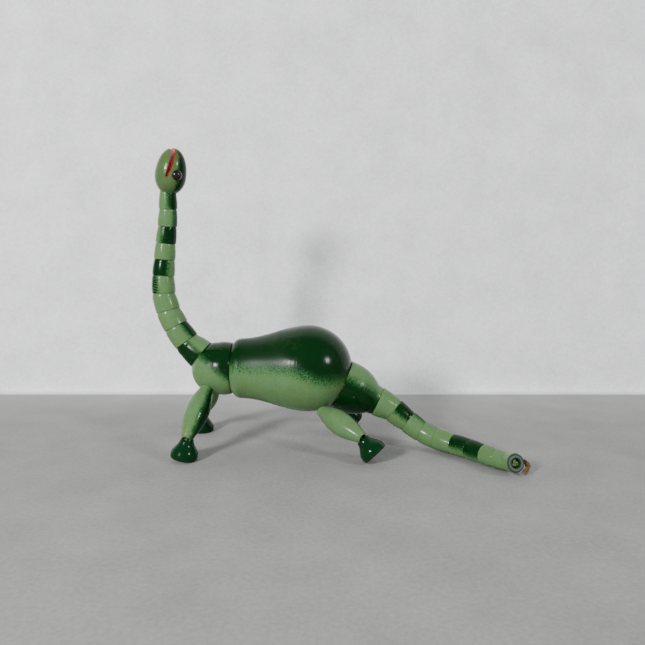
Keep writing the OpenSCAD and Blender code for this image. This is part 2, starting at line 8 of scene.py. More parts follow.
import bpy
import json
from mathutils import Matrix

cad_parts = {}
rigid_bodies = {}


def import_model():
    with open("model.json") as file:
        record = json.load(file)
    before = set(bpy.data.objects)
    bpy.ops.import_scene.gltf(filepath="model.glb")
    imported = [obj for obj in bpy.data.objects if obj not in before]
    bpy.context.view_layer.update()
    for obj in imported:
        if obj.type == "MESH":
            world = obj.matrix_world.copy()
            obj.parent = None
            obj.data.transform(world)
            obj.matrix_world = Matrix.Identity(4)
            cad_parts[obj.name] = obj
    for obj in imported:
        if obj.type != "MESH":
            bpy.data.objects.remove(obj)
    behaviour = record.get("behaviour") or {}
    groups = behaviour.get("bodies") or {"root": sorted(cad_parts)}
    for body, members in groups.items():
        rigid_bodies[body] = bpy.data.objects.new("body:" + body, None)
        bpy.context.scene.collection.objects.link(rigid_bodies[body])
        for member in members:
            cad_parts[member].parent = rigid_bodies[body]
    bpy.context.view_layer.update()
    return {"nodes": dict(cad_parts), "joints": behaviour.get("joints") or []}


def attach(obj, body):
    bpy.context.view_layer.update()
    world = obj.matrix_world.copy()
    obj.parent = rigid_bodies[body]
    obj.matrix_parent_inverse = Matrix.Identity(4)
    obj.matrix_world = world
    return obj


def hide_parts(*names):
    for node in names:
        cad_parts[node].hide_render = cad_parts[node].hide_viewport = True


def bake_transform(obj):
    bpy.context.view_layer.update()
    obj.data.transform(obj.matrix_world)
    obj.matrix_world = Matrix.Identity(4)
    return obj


bl_info = {
    "name": "Strung wooden dinosaur",
    "version": (1, 0, 0),
    "blender": (4, 5, 0),
    "location": "3D Viewport > Sidebar > Dinosaur",
    "description": "Paints the beads, strings the cords and lights the stage of a strung wooden dinosaur",
    "category": "Object",
}

import json
import math
import random

import bpy
from mathutils import Vector

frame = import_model()

MM = 0.001
X = Vector((1, 0, 0))
Y = Vector((0, 1, 0))
Z = Vector((0, 0, 1))

# The pieces by their place on the strings
NECK = [f"neck_bead_{number:02d}" for number in range(1, 11)]
TAIL = [f"tail_bead_{number:02d}" for number in range(1, 12)]
LEGS = [f"{end}_{side}_leg" for end in ("front", "rear") for side in ("left", "right")]
FEET = [f"{end}_{side}_foot" for end in ("front", "rear") for side in ("left", "right")]

# Bores and seats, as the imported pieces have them
BEAD_BORE = 2.3 * MM
LEG_BORE = 1.9 * MM
SEAT_GAP = 0.2 * MM

# Where the sprayed patch of each bead faces, in degrees round its own axis.
# On the neck 0 is the back and 90 the right side, and on the tail 0 is up and 90 the right side.
NECK_SPRAY = [197, 39, 90, 100, 168, 218, 110, -15, 54, 15]
TAIL_SPRAY = [209, 112, 12, 70, 100, 120, 0, -21, 110, 130, 60]


class PaintColours(bpy.types.PropertyGroup):
    """The colours of the enamel, wood and cord"""

    light: bpy.props.FloatVectorProperty(
        name="Light green", description="Enamel that every bead is dipped in",
        subtype="COLOR", min=0, max=1, default=(0.092, 0.184, 0.072),
    )
    middle: bpy.props.FloatVectorProperty(
        name="Middle green", description="Where the dark spray thins out over the light enamel",
        subtype="COLOR", min=0, max=1, default=(0.018, 0.1, 0.024),
    )
    dark: bpy.props.FloatVectorProperty(
        name="Dark green", description="Enamel sprayed on the backs",
        subtype="COLOR", min=0, max=1, default=(0.0006, 0.0205, 0.003),
    )
    feet: bpy.props.FloatVectorProperty(
        name="Foot green", description="Enamel of the feet",
        subtype="COLOR", min=0, max=1, default=(0.0006, 0.0205, 0.0045),
    )
    mouth: bpy.props.FloatVectorProperty(
        name="Mouth red", description="Paint inside the sawn mouth",
        subtype="COLOR", min=0, max=1, default=(0.15, 0.003, 0.005),
    )
    # Red paint with painted light: a brighter red that lifts the shade deep inside the saw cut
    inner_mouth_painted_light: bpy.props.FloatVectorProperty(
        name="Inner mouth red", description="Unrubbed paint deep inside the sawn mouth",
        subtype="COLOR", min=0, max=1, default=(0.62, 0.008, 0.011),
    )
    nostril: bpy.props.FloatVectorProperty(
        name="Nostril brown", description="Brush stroke of each nostril",
        subtype="COLOR", min=0, max=1, default=(0.2, 0.07, 0.02),
    )
    eye: bpy.props.FloatVectorProperty(
        name="Eye brown", description="Lacquer of the domed tacks",
        subtype="COLOR", min=0, max=1, default=(0.01, 0.005, 0.003),
    )
    wood: bpy.props.FloatVectorProperty(
        name="Bare wood", description="Wood inside bores and seats and where the enamel is worn",
        subtype="COLOR", min=0, max=1, default=(0.47, 0.27, 0.11),
    )
    sole: bpy.props.FloatVectorProperty(
        name="Worn sole", description="Stained wood of the rubbed soles",
        subtype="COLOR", min=0, max=1, default=(0.08, 0.033, 0.017),
    )
    cord: bpy.props.FloatVectorProperty(
        name="Cord brown", description="Fibres of the cords",
        subtype="COLOR", min=0, max=1, default=(0.3, 0.12, 0.022),
    )


class PaintFinish(bpy.types.PropertyGroup):
    """How the enamel lies on the wood"""

    soft: bpy.props.FloatProperty(
        name="Spray edge", description="Half of the width over which a sprayed patch fades",
        subtype="DISTANCE", unit="LENGTH", min=0.0002, max=0.008, default=0.0019,
    )
    roughness: bpy.props.FloatProperty(
        name="Roughness", description="Roughness of sound enamel",
        subtype="FACTOR", min=0.05, max=1, default=0.17,
    )
    ring_height: bpy.props.FloatProperty(
        name="Ring height", description="Depth of the lathe's rings under the enamel",
        subtype="DISTANCE", unit="LENGTH", min=0, max=0.0002, default=0.00003,
    )
    wear: bpy.props.FloatProperty(
        name="Wear", description="How much enamel is chipped off along the rims",
        subtype="FACTOR", min=0, max=1, default=0.3,
    )


class CordSizes(bpy.types.PropertyGroup):
    """The twist and the knots of the cords"""

    radius: bpy.props.FloatProperty(
        name="Cord radius", description="Radius over the three plies",
        subtype="DISTANCE", unit="LENGTH", min=0.0004, max=0.001, default=0.00085,
    )
    pitch: bpy.props.FloatProperty(
        name="Twist", description="Length over which a ply goes round once",
        subtype="DISTANCE", unit="LENGTH", min=0.003, max=0.02, default=0.0056,
    )
    knot: bpy.props.FloatProperty(
        name="Knot radius", description="Outer radius of each end knot",
        subtype="DISTANCE", unit="LENGTH", min=0.0014, max=0.0022, default=0.0019,
    )
    tip_knot: bpy.props.FloatProperty(
        name="Tip knot radius", description="Outer radius of the painted knot in the end bead",
        subtype="DISTANCE", unit="LENGTH", min=0.0019, max=0.0028, default=0.0025,
    )
    fibres: bpy.props.IntProperty(
        name="Frayed fibres", description="Number of loose fibres in the frayed end",
        min=6, max=60, default=44,
    )


class StageSettings(bpy.types.PropertyGroup):
    """The floor, the wall behind and the lamps"""

    wall_distance: bpy.props.FloatProperty(
        name="Wall distance", description="How far the wall stands behind the torso's axis",
        subtype="DISTANCE", unit="LENGTH", min=0.1, max=1, default=0.174,
    )
    floor: bpy.props.FloatVectorProperty(
        name="Floor", description="Colour of the floor",
        subtype="COLOR", min=0, max=1, default=(0.282, 0.282, 0.275),
    )
    wall: bpy.props.FloatVectorProperty(
        name="Wall", description="Colour of the wall",
        subtype="COLOR", min=0, max=1, default=(0.86, 0.865, 0.87),
    )
    key_power: bpy.props.FloatProperty(
        name="Left lamp", description="Power of the lamp on the left",
        unit="POWER", min=0, max=50, default=14,
    )
    fill_power: bpy.props.FloatProperty(
        name="Right lamp", description="Power of the lamp on the right",
        unit="POWER", min=0, max=50, default=5,
    )
    surround: bpy.props.FloatProperty(
        name="Surround", description="Strength of the pale light from all round",
        min=0, max=2, default=0.33,
    )


def joint_of(body):
    """The joint that a body turns about."""
    return next(joint for joint in frame["joints"] if joint["child"] == body)


def pivot(body):
    """The centre of the joint that a body turns about."""
    return Vector(joint_of(body)["pos_m"])


def surface_centre(node):
    """The middle of a node's surface, which lies on the axis of a turned piece."""
    faces = frame["nodes"][node].data.polygons
    area = sum(face.area for face in faces)
    return sum((face.center * face.area for face in faces), Vector()) / area


def next_on_string(body):
    """The body that follows on the string, or None at its end."""
    if body == "torso":
        return "chest"
    if body == "chest":
        return "neck_bead_01"
    return next((joint["child"] for joint in frame["joints"] if joint["parent"] == body), None)


def start_of(body):
    """Where a turned piece's axis starts: the centre of its seat, or of the torso's rear ball."""
    return pivot(TAIL[0]) if body == "torso" else pivot(body)


def axis_of(body):
    """The direction of a turned piece's axis, away from the torso."""
    if body == "head":
        return Vector(joint_of("head")["axis"]).normalized()
    following = next_on_string(body)
    end = pivot(following) if following else surface_centre(body)
    return (end - start_of(body)).normalized()


def seat_radius(body):
    """The radius of the seat that a body turns on, which is its surface nearest to its pivot."""
    centre = pivot(body)
    return min((vertex.co - centre).length for vertex in frame["nodes"][body].data.vertices)


def reach_along(body):
    """How far a turned piece reaches along its axis from its start, at its lowest and at its highest."""
    start = start_of(body)
    axis = axis_of(body)
    heights = [(vertex.co - start).dot(axis) for vertex in frame["nodes"][body].data.vertices]
    return min(heights), max(heights)


def square_to(direction, axis):
    """The part of a direction that is square to an axis, as a unit vector."""
    return (direction - direction.dot(axis) * axis).normalized()


def round_neck(axis, degrees):
    """The direction that lies so far round a neck bead, from its back towards its right side."""
    angle = math.radians(degrees)
    back = square_to(Vector((axis.z, 0, -axis.x)), axis)
    return square_to(math.cos(angle) * back + math.sin(angle) * Y, axis)


def round_tail(axis, degrees):
    """The direction that lies so far round a tail bead, from its top towards its right side."""
    angle = math.radians(degrees)
    right = Z.cross(axis).normalized()
    return math.cos(angle) * axis.cross(right) + math.sin(angle) * right


class Value:
    """A number, vector or colour in a material. A sum on it adds a node."""

    def __init__(self, recipe, socket):
        self.recipe = recipe
        self.socket = socket

    def __add__(self, other):
        return self.recipe.math("ADD", self, other)

    def __sub__(self, other):
        return self.recipe.math("SUBTRACT", self, other)

    def __rsub__(self, other):
        return self.recipe.math("SUBTRACT", other, self)

    def __mul__(self, other):
        return self.recipe.math("MULTIPLY", self, other)

    def __abs__(self):
        return self.recipe.math("ABSOLUTE", self)

    __radd__ = __add__
    __rmul__ = __mul__

    def rise(self, low, high):
        """Goes smoothly from 0 where this value is low to 1 where it is high."""
        node = self.recipe.add("ShaderNodeMapRange", interpolation_type="SMOOTHSTEP")
        self.recipe.feed(node.inputs["Value"], self)
        self.recipe.feed(node.inputs["From Min"], low)
        self.recipe.feed(node.inputs["From Max"], high)
        return Value(self.recipe, node.outputs["Result"])

    def within(self, low, from_here, to_here, high):
        """Is 1 between the middle two numbers, and falls to 0 at the outer two."""
        return self.rise(low, from_here) * self.rise(high, to_here)


class Recipe:
    """Builds the nodes of one material, from values and plain numbers."""

    def __init__(self, name):
        self.material = bpy.data.materials.new(name)
        self.material.use_nodes = True
        self.tree = self.material.node_tree
        self.tree.nodes.clear()
        self.place = Value(self, self.add("ShaderNodeTexCoord").outputs["Object"])

    def add(self, kind, **settings):
        """A new node with its settings."""
        node = self.tree.nodes.new(kind)
        for name, value in settings.items():
            setattr(node, name, value)
        return node

    def feed(self, socket, value):
        """Links a value to an input, or sets a plain number, vector or colour on it."""
        if isinstance(value, Value):
            self.tree.links.new(value.socket, socket)
        elif socket.type == "RGBA":
            socket.default_value = (*value, 1)
        elif socket.type == "VECTOR":
            socket.default_value = tuple(value)
        else:
            socket.default_value = value

    def math(self, operation, *values, clamp=False):
        """What one maths node makes of some numbers."""
        node = self.add("ShaderNodeMath", operation=operation, use_clamp=clamp)
        for socket, value in zip(node.inputs, values):
            self.feed(socket, value)
        return Value(self, node.outputs[0])

    def vector(self, operation, *values):
        """What one maths node makes of some vectors."""
        node = self.add("ShaderNodeVectorMath", operation=operation)
        for socket, value in zip(node.inputs, values):
            self.feed(socket, value)
        return Value(self, node.outputs["Value" if operation in ("DOT_PRODUCT", "DISTANCE") else "Vector"])

    def most(self, *masks):
        """The largest of some masks."""
        largest = masks[0]
        for mask in masks[1:]:
            largest = self.math("MAXIMUM", largest, mask)
        return largest

    def mix(self, factor, a, b):
        """Colour a at factor 0, and b at 1."""
        node = self.add("ShaderNodeMix", data_type="RGBA")
        for index, value in ((0, factor), (6, a), (7, b)):
            self.feed(node.inputs[index], value)
        return Value(self, node.outputs[2])

    def shade(self, colour, amount):
        """The colour times a number."""
        node = self.add("ShaderNodeVectorMath", operation="SCALE")
        self.feed(node.inputs[0], colour)
        self.feed(node.inputs["Scale"], amount)
        return Value(self, node.outputs["Vector"])

    def stretched(self, vector, scales):
        """The vector or colour with each of its parts scaled."""
        return self.vector("MULTIPLY", vector, scales)

    def cloud(self, vector, size, detail=2.0, roughness=0.5):
        """Noise from 0 to 1 whose blots are about size metres wide."""
        node = self.add("ShaderNodeTexNoise")
        self.feed(node.inputs["Vector"], vector)
        node.inputs["Scale"].default_value = 1 / size
        node.inputs["Detail"].default_value = detail
        node.inputs["Roughness"].default_value = roughness
        return Value(self, node.outputs[0])

    def bands(self, value, size):
        """Noise from 0 to 1 that changes with one number only."""
        node = self.add("ShaderNodeTexNoise", noise_dimensions="1D")
        self.feed(node.inputs["W"], value)
        node.inputs["Scale"].default_value = 1 / size
        node.inputs["Detail"].default_value = 2.0
        return Value(self, node.outputs[0])

    def bump(self, height, depth):
        """A normal that follows a height from 0 to 1, depth metres deep."""
        node = self.add("ShaderNodeBump")
        node.inputs["Distance"].default_value = depth
        self.feed(node.inputs["Height"], height)
        return Value(self, node.outputs["Normal"])

    def finish(self, colour, roughness, normal, one_sided=False, **more):
        """Ends the material in a Principled surface, which is clear from behind if it is one-sided."""
        shader = self.add("ShaderNodeBsdfPrincipled")
        for name, value in {"Base Color": colour, "Roughness": roughness, "Normal": normal, **more}.items():
            self.feed(shader.inputs[name.replace("_", " ")], value)
        surface = shader.outputs[0]
        if one_sided:
            choice = self.add("ShaderNodeMixShader")
            behind = self.add("ShaderNodeNewGeometry").outputs["Backfacing"]
            clear = self.add("ShaderNodeBsdfTransparent").outputs[0]
            for socket, end in zip(choice.inputs, (behind, surface, clear)):
                self.tree.links.new(end, socket)
            surface = choice.outputs[0]
        output = self.add("ShaderNodeOutputMaterial")
        self.tree.links.new(surface, output.inputs["Surface"])
        return self.material


class TurnedRecipe(Recipe):
    """Enamel on a turned piece, in a point's place on it: across towards one side, beside, and along."""

    # How far apart two pieces lie in every noise
    NOISE_STEP = (0.37, 0.11, 0.53)
    # How far the spray's edge wanders, over what length, and how much wider than its softness the fog is
    WANDER = 2.4 * MM
    WANDER_SIZE = 7 * MM
    FOG = 1.7
    # The droplets' size, how strongly they break up the fog, and how much the stray ones show
    DROPLET = 0.6 * MM
    DROPLETS = 11
    STRAYS = 0.3
    # From which cover to which the light enamel goes over to middle green, and that to dark green
    THIN_COVER = (0, 0.55)
    THICK_COVER = (0.35, 1)
    # The wood's darkest tone, and how much fine and coarse grain lighten it
    WOOD_TONE, FINE_GRAIN, COARSE_GRAIN = 0.72, 0.32, 0.28
    # How far outside a bore and a seat the wood starts to show, and where it shows wholly
    BORE_EDGE = (0.25 * MM, 0.05 * MM)
    SEAT_EDGE = (0.1 * MM, 0.03 * MM)
    # The enamel's darkest tone, and how much clouds, specks and rings lighten it
    TONE, CLOUDS, SPECKS, FADED_RINGS = 0.54, 0.34, 0.5, 0.08
    # How age has turned the colour, and how far
    AGED = (1.02, 0.9, 0.72)
    AGEING = 0.55
    # How deep the lathe's rings, the paint's peel and the grain go, and how far bare wood is sunk
    RINGS, PEEL, GRAIN, SUNK = 0.45, 0.35, 0.35, 0.8
    # How much rougher the enamel is where it is smudged, where the wood is bare and where it is matt
    SMUDGED, ROUGH_WOOD, ROUGH_MATT = 0.12, 0.45, 0.34
    # How strongly the enamel mirrors
    SPECULAR = 0.15
    # A fan of scratches: its curve, its lean, its wobble, and how far apart they lie
    SCRATCH_CURVE, SCRATCH_LEAN = 60, 0.35
    SCRATCH_WOBBLE, SCRATCH_APART = 1.2 * MM, 2.1 * MM

    def __init__(self, name, start, axis, side, seed):
        super().__init__(name)
        self.from_start = self.vector("SUBTRACT", self.place, start)
        self.across = self.vector("DOT_PRODUCT", self.from_start, side)
        self.beside = self.vector("DOT_PRODUCT", self.from_start, axis.cross(side))
        self.along = self.vector("DOT_PRODUCT", self.from_start, axis)
        self.radial = self.math("SQRT", self.across * self.across + self.beside * self.beside)
        local = self.add("ShaderNodeCombineXYZ")
        for socket, value in zip(local.inputs, (self.across, self.beside, self.along)):
            self.feed(socket, value)
        # Each piece has its own part of every noise
        shift = [step * seed for step in self.NOISE_STEP]
        self.spot = self.vector("ADD", Value(self, local.outputs[0]), shift)

    def blots(self, size, detail=2.0, roughness=0.5):
        """Noise at this point of the piece."""
        return self.cloud(self.spot, size, detail, roughness)

    def streaks(self, squeeze, size, detail):
        """Noise drawn out along the axis."""
        return self.cloud(self.stretched(self.spot, (1, 1, squeeze)), size, detail)

    def spray(self, towards, cut, soft):
        """How thick the dark spray lies: it covers what is further than cut, and thins out in droplets."""
        edge = towards - cut + (self.blots(self.WANDER_SIZE) - 0.5) * self.WANDER
        fog = edge.rise(-self.FOG * soft, self.FOG * soft)
        droplets = self.blots(self.DROPLET, detail=2, roughness=0.65) - 0.5
        thinning = fog * (1 - fog) * self.DROPLETS
        cover = self.math("ADD", fog, droplets * thinning, clamp=True)
        stray = self.blots(self.DROPLET, detail=0).rise(0.66, 0.76)
        near = edge.rise(-4 * soft, -0.5 * soft)
        return self.most(cover, stray * near * self.STRAYS)

    def dry_spray(self, cover):
        """Where the spray has thinned out and dried dull: 1 at half cover."""
        return cover * (1 - cover) * 4

    def scratches(self):
        """A fan of thin curved scratches down to the light enamel."""
        turn = self.beside + self.along * self.along * self.SCRATCH_CURVE + self.along * self.SCRATCH_LEAN
        turn += self.blots(3 * MM) * self.SCRATCH_WOBBLE
        wave = self.math("SINE", turn * (2 * math.pi / self.SCRATCH_APART))
        return wave.rise(0.7, 0.95) * self.blots(1.6 * MM).rise(0.36, 0.5)

    def two_greens(self, cover):
        """Light enamel, middle green where the spray over it is thin, and dark where it is thick."""
        paint = bpy.context.scene.dino_paint
        thin = self.mix(cover.rise(*self.THIN_COVER), paint.light, paint.middle)
        return self.mix(cover.rise(*self.THICK_COVER), thin, paint.dark)

    def bare_wood(self, colour):
        """Turned wood with streaks of grain along the axis."""
        fine = self.streaks(squeeze=0.05, size=0.5 * MM, detail=3) * self.FINE_GRAIN
        coarse = self.streaks(squeeze=0.12, size=2.5 * MM, detail=2) * self.COARSE_GRAIN
        return self.shade(colour, self.WOOD_TONE + (fine + coarse))

    def bore_bare(self, radius):
        """Bare wood inside a bore along the axis."""
        return self.radial.rise(*(radius + edge for edge in self.BORE_EDGE))

    def seat_bare(self, centre, radius):
        """Bare wood inside a round seat."""
        distance = self.vector("DISTANCE", self.place, centre)
        return distance.rise(*(radius + edge for edge in self.SEAT_EDGE))

    def chips(self, near, size, amount, low, high):
        """Chips in the enamel, more of them where near is 1."""
        wear = bpy.context.scene.dino_finish.wear
        return (self.blots(size, detail=3, roughness=0.6) + near * (amount * wear)).rise(low, high)

    def rim_bare(self, low):
        """Chips in the enamel along the rim of a seat."""
        near = self.along.rise(low + 0.9 * MM, low)
        return self.chips(near, size=1.3 * MM, amount=0.22, low=0.72, high=0.76)

    def enamelled(self, colour, bare, gloss=1.0, matt=0.0):
        """Ends in glossy enamel. Where bare is 1 the wood shows, and where matt is 1 dry spray dulls it."""
        finish = bpy.context.scene.dino_finish
        clouds = self.blots(8 * MM, detail=4, roughness=0.6) * self.CLOUDS
        specks = self.blots(1.1 * MM, detail=4, roughness=0.7) * self.SPECKS
        fade = self.bands(self.along, 1.7 * MM) * self.FADED_RINGS
        tone = self.TONE + (clouds + (specks + fade))
        yellowed = self.blots(11 * MM, detail=3).rise(0.4, 0.72) * self.AGEING
        aged = self.mix(yellowed, colour, self.stretched(colour, self.AGED))
        surface = self.mix(bare, self.shade(aged, tone), self.bare_wood(bpy.context.scene.dino_paint.wood))

        rings = self.bands(self.along, 0.55 * MM) * self.RINGS
        peel = self.blots(1.1 * MM, detail=1) * self.PEEL
        relief = rings + peel + self.streaks(squeeze=0.08, size=0.7 * MM, detail=2) * self.GRAIN
        normal = self.bump(relief - bare * self.SUNK, finish.ring_height)

        rough = (finish.roughness / gloss - self.SMUDGED / 2) + self.blots(5 * MM, detail=3) * self.SMUDGED
        rough = rough + bare * self.ROUGH_WOOD + matt * self.ROUGH_MATT
        return self.finish(surface, rough, normal, Specular_IOR_Level=self.SPECULAR)


def paint_on(node, material):
    """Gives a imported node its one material."""
    slots = frame["nodes"][node].data.materials
    slots.clear()
    slots.append(material)


# How much of the spray a scratch takes off, and how matt the spray's edge is on a bead
SCRATCHED_OFF = 0.85
BEAD_MATT = 0.4


def bead_material(body, side, seed, soft=None, scratched=False):
    """The enamel of a bead whose sprayed patch faces one side."""
    recipe = TurnedRecipe(f"{body}_enamel", start_of(body), axis_of(body), side, seed)
    cover = recipe.spray(recipe.across, 0, soft or bpy.context.scene.dino_finish.soft)
    if scratched:
        cover = cover * (1 - recipe.scratches() * SCRATCHED_OFF)
    bare = recipe.most(
        recipe.bore_bare(BEAD_BORE), recipe.seat_bare(pivot(body), seat_radius(body)),
        recipe.rim_bare(reach_along(body)[0]),
    )
    return recipe.enamelled(recipe.two_greens(cover), bare, matt=recipe.dry_spray(cover) * BEAD_MATT)


def deselect():
    """Deselects every object, since an operator acts on all that is selected."""
    bpy.ops.object.select_all(action="DESELECT")


def tube(name, points, radii, sides):
    """A tube through some points, each with its own radius, as a mesh that is rounder with more sides."""
    deselect()
    bpy.ops.curve.primitive_bezier_curve_add(enter_editmode=False)
    made = bpy.context.object
    made.name = name
    curve = made.data
    curve.dimensions = "3D"
    curve.resolution_u = 2
    curve.bevel_depth = 1
    curve.bevel_resolution = sides
    curve.use_fill_caps = True
    spline = curve.splines[0]
    spline.bezier_points.add(len(points) - 2)
    for knot, point, radius in zip(spline.bezier_points, points, radii):
        knot.co = point
        knot.radius = radius
        knot.handle_left_type = "AUTO"
        knot.handle_right_type = "AUTO"
    bpy.ops.object.convert(target="MESH")
    bpy.ops.object.shade_smooth()
    return made


def joined(name, parts):
    """Some meshes as one, at the origin."""
    deselect()
    for part in parts:
        part.select_set(True)
    bpy.context.view_layer.objects.active = parts[0]
    if len(parts) > 1:
        bpy.ops.object.join()
    whole = bpy.context.object
    whole.name = name
    whole.data.name = name
    bpy.ops.object.transform_apply(location=True, rotation=True, scale=True)
    return whole


# A direction along none of the cords, from which side directions start
ODD_WAY = Vector((0.3, 0.2, 1))


class Route:
    """A cord's path through some corner points, in even steps, with a side direction carried along it."""

    STEP = 0.7 * MM

    def __init__(self, corners):
        self.points = [corners[0]]
        self.lengths = [0.0]
        for start, end in zip(corners, corners[1:]):
            steps = max(1, round((end - start).length / self.STEP))
            for step in range(1, steps + 1):
                point = start.lerp(end, step / steps)
                self.lengths.append(self.lengths[-1] + (point - self.points[-1]).length)
                self.points.append(point)
        self.sides = []
        side = ODD_WAY
        for index in range(len(self.points)):
            side = square_to(side, self.direction(index))
            self.sides.append(side)

    def direction(self, index):
        """The path's direction at one of its points."""
        before = self.points[max(index - 1, 0)]
        after = self.points[min(index + 1, len(self.points) - 1)]
        return (after - before).normalized()

    def index_at(self, corner):
        """The index of the point nearest to a corner."""
        return min(range(len(self.points)), key=lambda index: (self.points[index] - corner).length)

    def ply(self, first, last, turn, pitch, offset):
        """The path of one ply between two indices."""
        path = []
        for index in range(first, last + 1):
            angle = 2 * math.pi * (turn + self.lengths[index] / pitch)
            side = self.sides[index]
            over = self.direction(index).cross(side)
            path.append(self.points[index] + offset * (math.cos(angle) * side + math.sin(angle) * over))
        return path


# A ply's radius as a share of the cord's, and how much the plies are pressed into each other
PLY = 0.47
PRESSED = 1.05


def laid_cord(name, route, first, last):
    """A cord of three twisted plies along part of a route."""
    sizes = bpy.context.scene.dino_cord
    ply = PLY * sizes.radius
    offset = sizes.radius - ply
    plies = []
    for number in range(3):
        path = route.ply(first, last, number / 3, sizes.pitch, offset)
        plies.append(tube(f"{name}_ply", path, [ply * PRESSED] * len(path), sides=1))
    return joined(name, plies)


# A knot's cord, its ring and how far it swings out of the ring and up, as shares of its radius
KNOT_CORD, KNOT_RING, KNOT_OUT, KNOT_UP = 0.3, 0.44, 0.26, 0.312
KNOT_POINTS = 48
# The loop stops just short of its start
KNOT_ROUND = 2 * math.pi * 0.985


def tied_knot(name, centre, axis, radius):
    """A tight overhand knot, seen end on along its axis."""
    side = square_to(ODD_WAY, axis)
    over = axis.cross(side)
    path = []
    for step in range(KNOT_POINTS):
        angle = KNOT_ROUND * step / KNOT_POINTS
        out = KNOT_RING + KNOT_OUT * math.cos(3 * angle)
        flat = math.cos(2 * angle) * side + math.sin(2 * angle) * over
        path.append(centre + radius * (out * flat + KNOT_UP * math.sin(3 * angle) * axis))
    return joined(name, [tube(f"{name}_loop", path, [KNOT_CORD * radius] * KNOT_POINTS, sides=3)])


def cord_material(name, colour, paint_cover=0.0):
    """Twisted fibres, with some enamel on them where they were sprayed."""
    recipe = Recipe(name)
    fibres = recipe.cloud(recipe.stretched(recipe.place, (1, 1, 0.35)), 0.28 * MM, detail=3, roughness=0.65)
    dirt = recipe.cloud(recipe.place, 3 * MM, detail=3)
    tone = 0.35 + (fibres * 0.9 + dirt * 0.4)
    painted = recipe.shade(bpy.context.scene.dino_paint.middle, tone)
    surface = recipe.mix(paint_cover, recipe.shade(colour, tone), painted)
    return recipe.finish(
        surface, 0.85 - 0.45 * paint_cover, recipe.bump(fibres, 0.12 * MM),
        Sheen_Weight=0.25 * (1 - paint_cover), Sheen_Roughness=0.4,
    )


def hide_rest(piece, material, *nodes):
    """A cord's piece takes its material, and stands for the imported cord."""
    piece.data.materials.clear()
    piece.data.materials.append(material)
    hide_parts(*nodes)


def crossing(body, before, after):
    """Where a cord crosses a body's seat, from one bore to the next."""
    return pivot(body) + (seat_radius(body) - SEAT_GAP / 2) * (before + after).normalized()


# How far either side of a seat bend_at reckons its points
CORD_BEND = 2.2 * MM


def bend_at(piece, at, direction):
    """Bakes a cord's piece where it lies; the points either side of the seat are reckoned but not used."""
    at - CORD_BEND * direction
    at + CORD_BEND * direction
    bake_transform(piece)


def string_run(chain, seats, corners, name, enamel=0.0):
    """Lays a cord through its corners, one piece for each joint along a chain of bodies."""
    route = Route(corners)
    material = cord_material(f"{name}_fibre", bpy.context.scene.dino_paint.cord, enamel)
    at_seats = [route.index_at(seat) for seat in seats]
    cuts = [0, *[(a + b) // 2 for a, b in zip(at_seats, at_seats[1:])], len(route.points) - 1]
    for number, (first, last) in enumerate(zip(cuts, cuts[1:])):
        piece = laid_cord(f"{name}_{number + 1:02d}", route, first, last)
        hide_rest(piece, material, name)
        parent, child = chain[number], chain[number + 1]
        bend_at(piece, seats[number], route.direction(at_seats[number]))


class DINO_OT_camera(bpy.types.Operator):
    """Set the camera in front of the toy's left side, a little above the torso"""

    bl_idname = "dino.camera"
    bl_label = "Camera"

    # The camera's place from the torso's rear ball, its tilt, and its focal length in the picture's pixels
    FROM_BALL = Vector((9.5, -400, 69.3)) * MM
    TILT_DOWN = math.radians(5.26)
    FOCAL_PIXELS = 570
    PICTURE_PIXELS = 645
    SENSOR_MM = 36

    def execute(self, context):
        deselect()
        bpy.ops.object.camera_add(location=pivot(TAIL[0]) + self.FROM_BALL)
        camera = context.object
        camera.name = "camera"
        camera.rotation_euler = (math.pi / 2 - self.TILT_DOWN, 0, 0)
        camera.data.sensor_width = self.SENSOR_MM
        camera.data.lens = self.SENSOR_MM * self.FOCAL_PIXELS / self.PICTURE_PIXELS
        camera.data.clip_start = 0.01
        camera.data.clip_end = 20
        context.scene.camera = camera
        return {"FINISHED"}


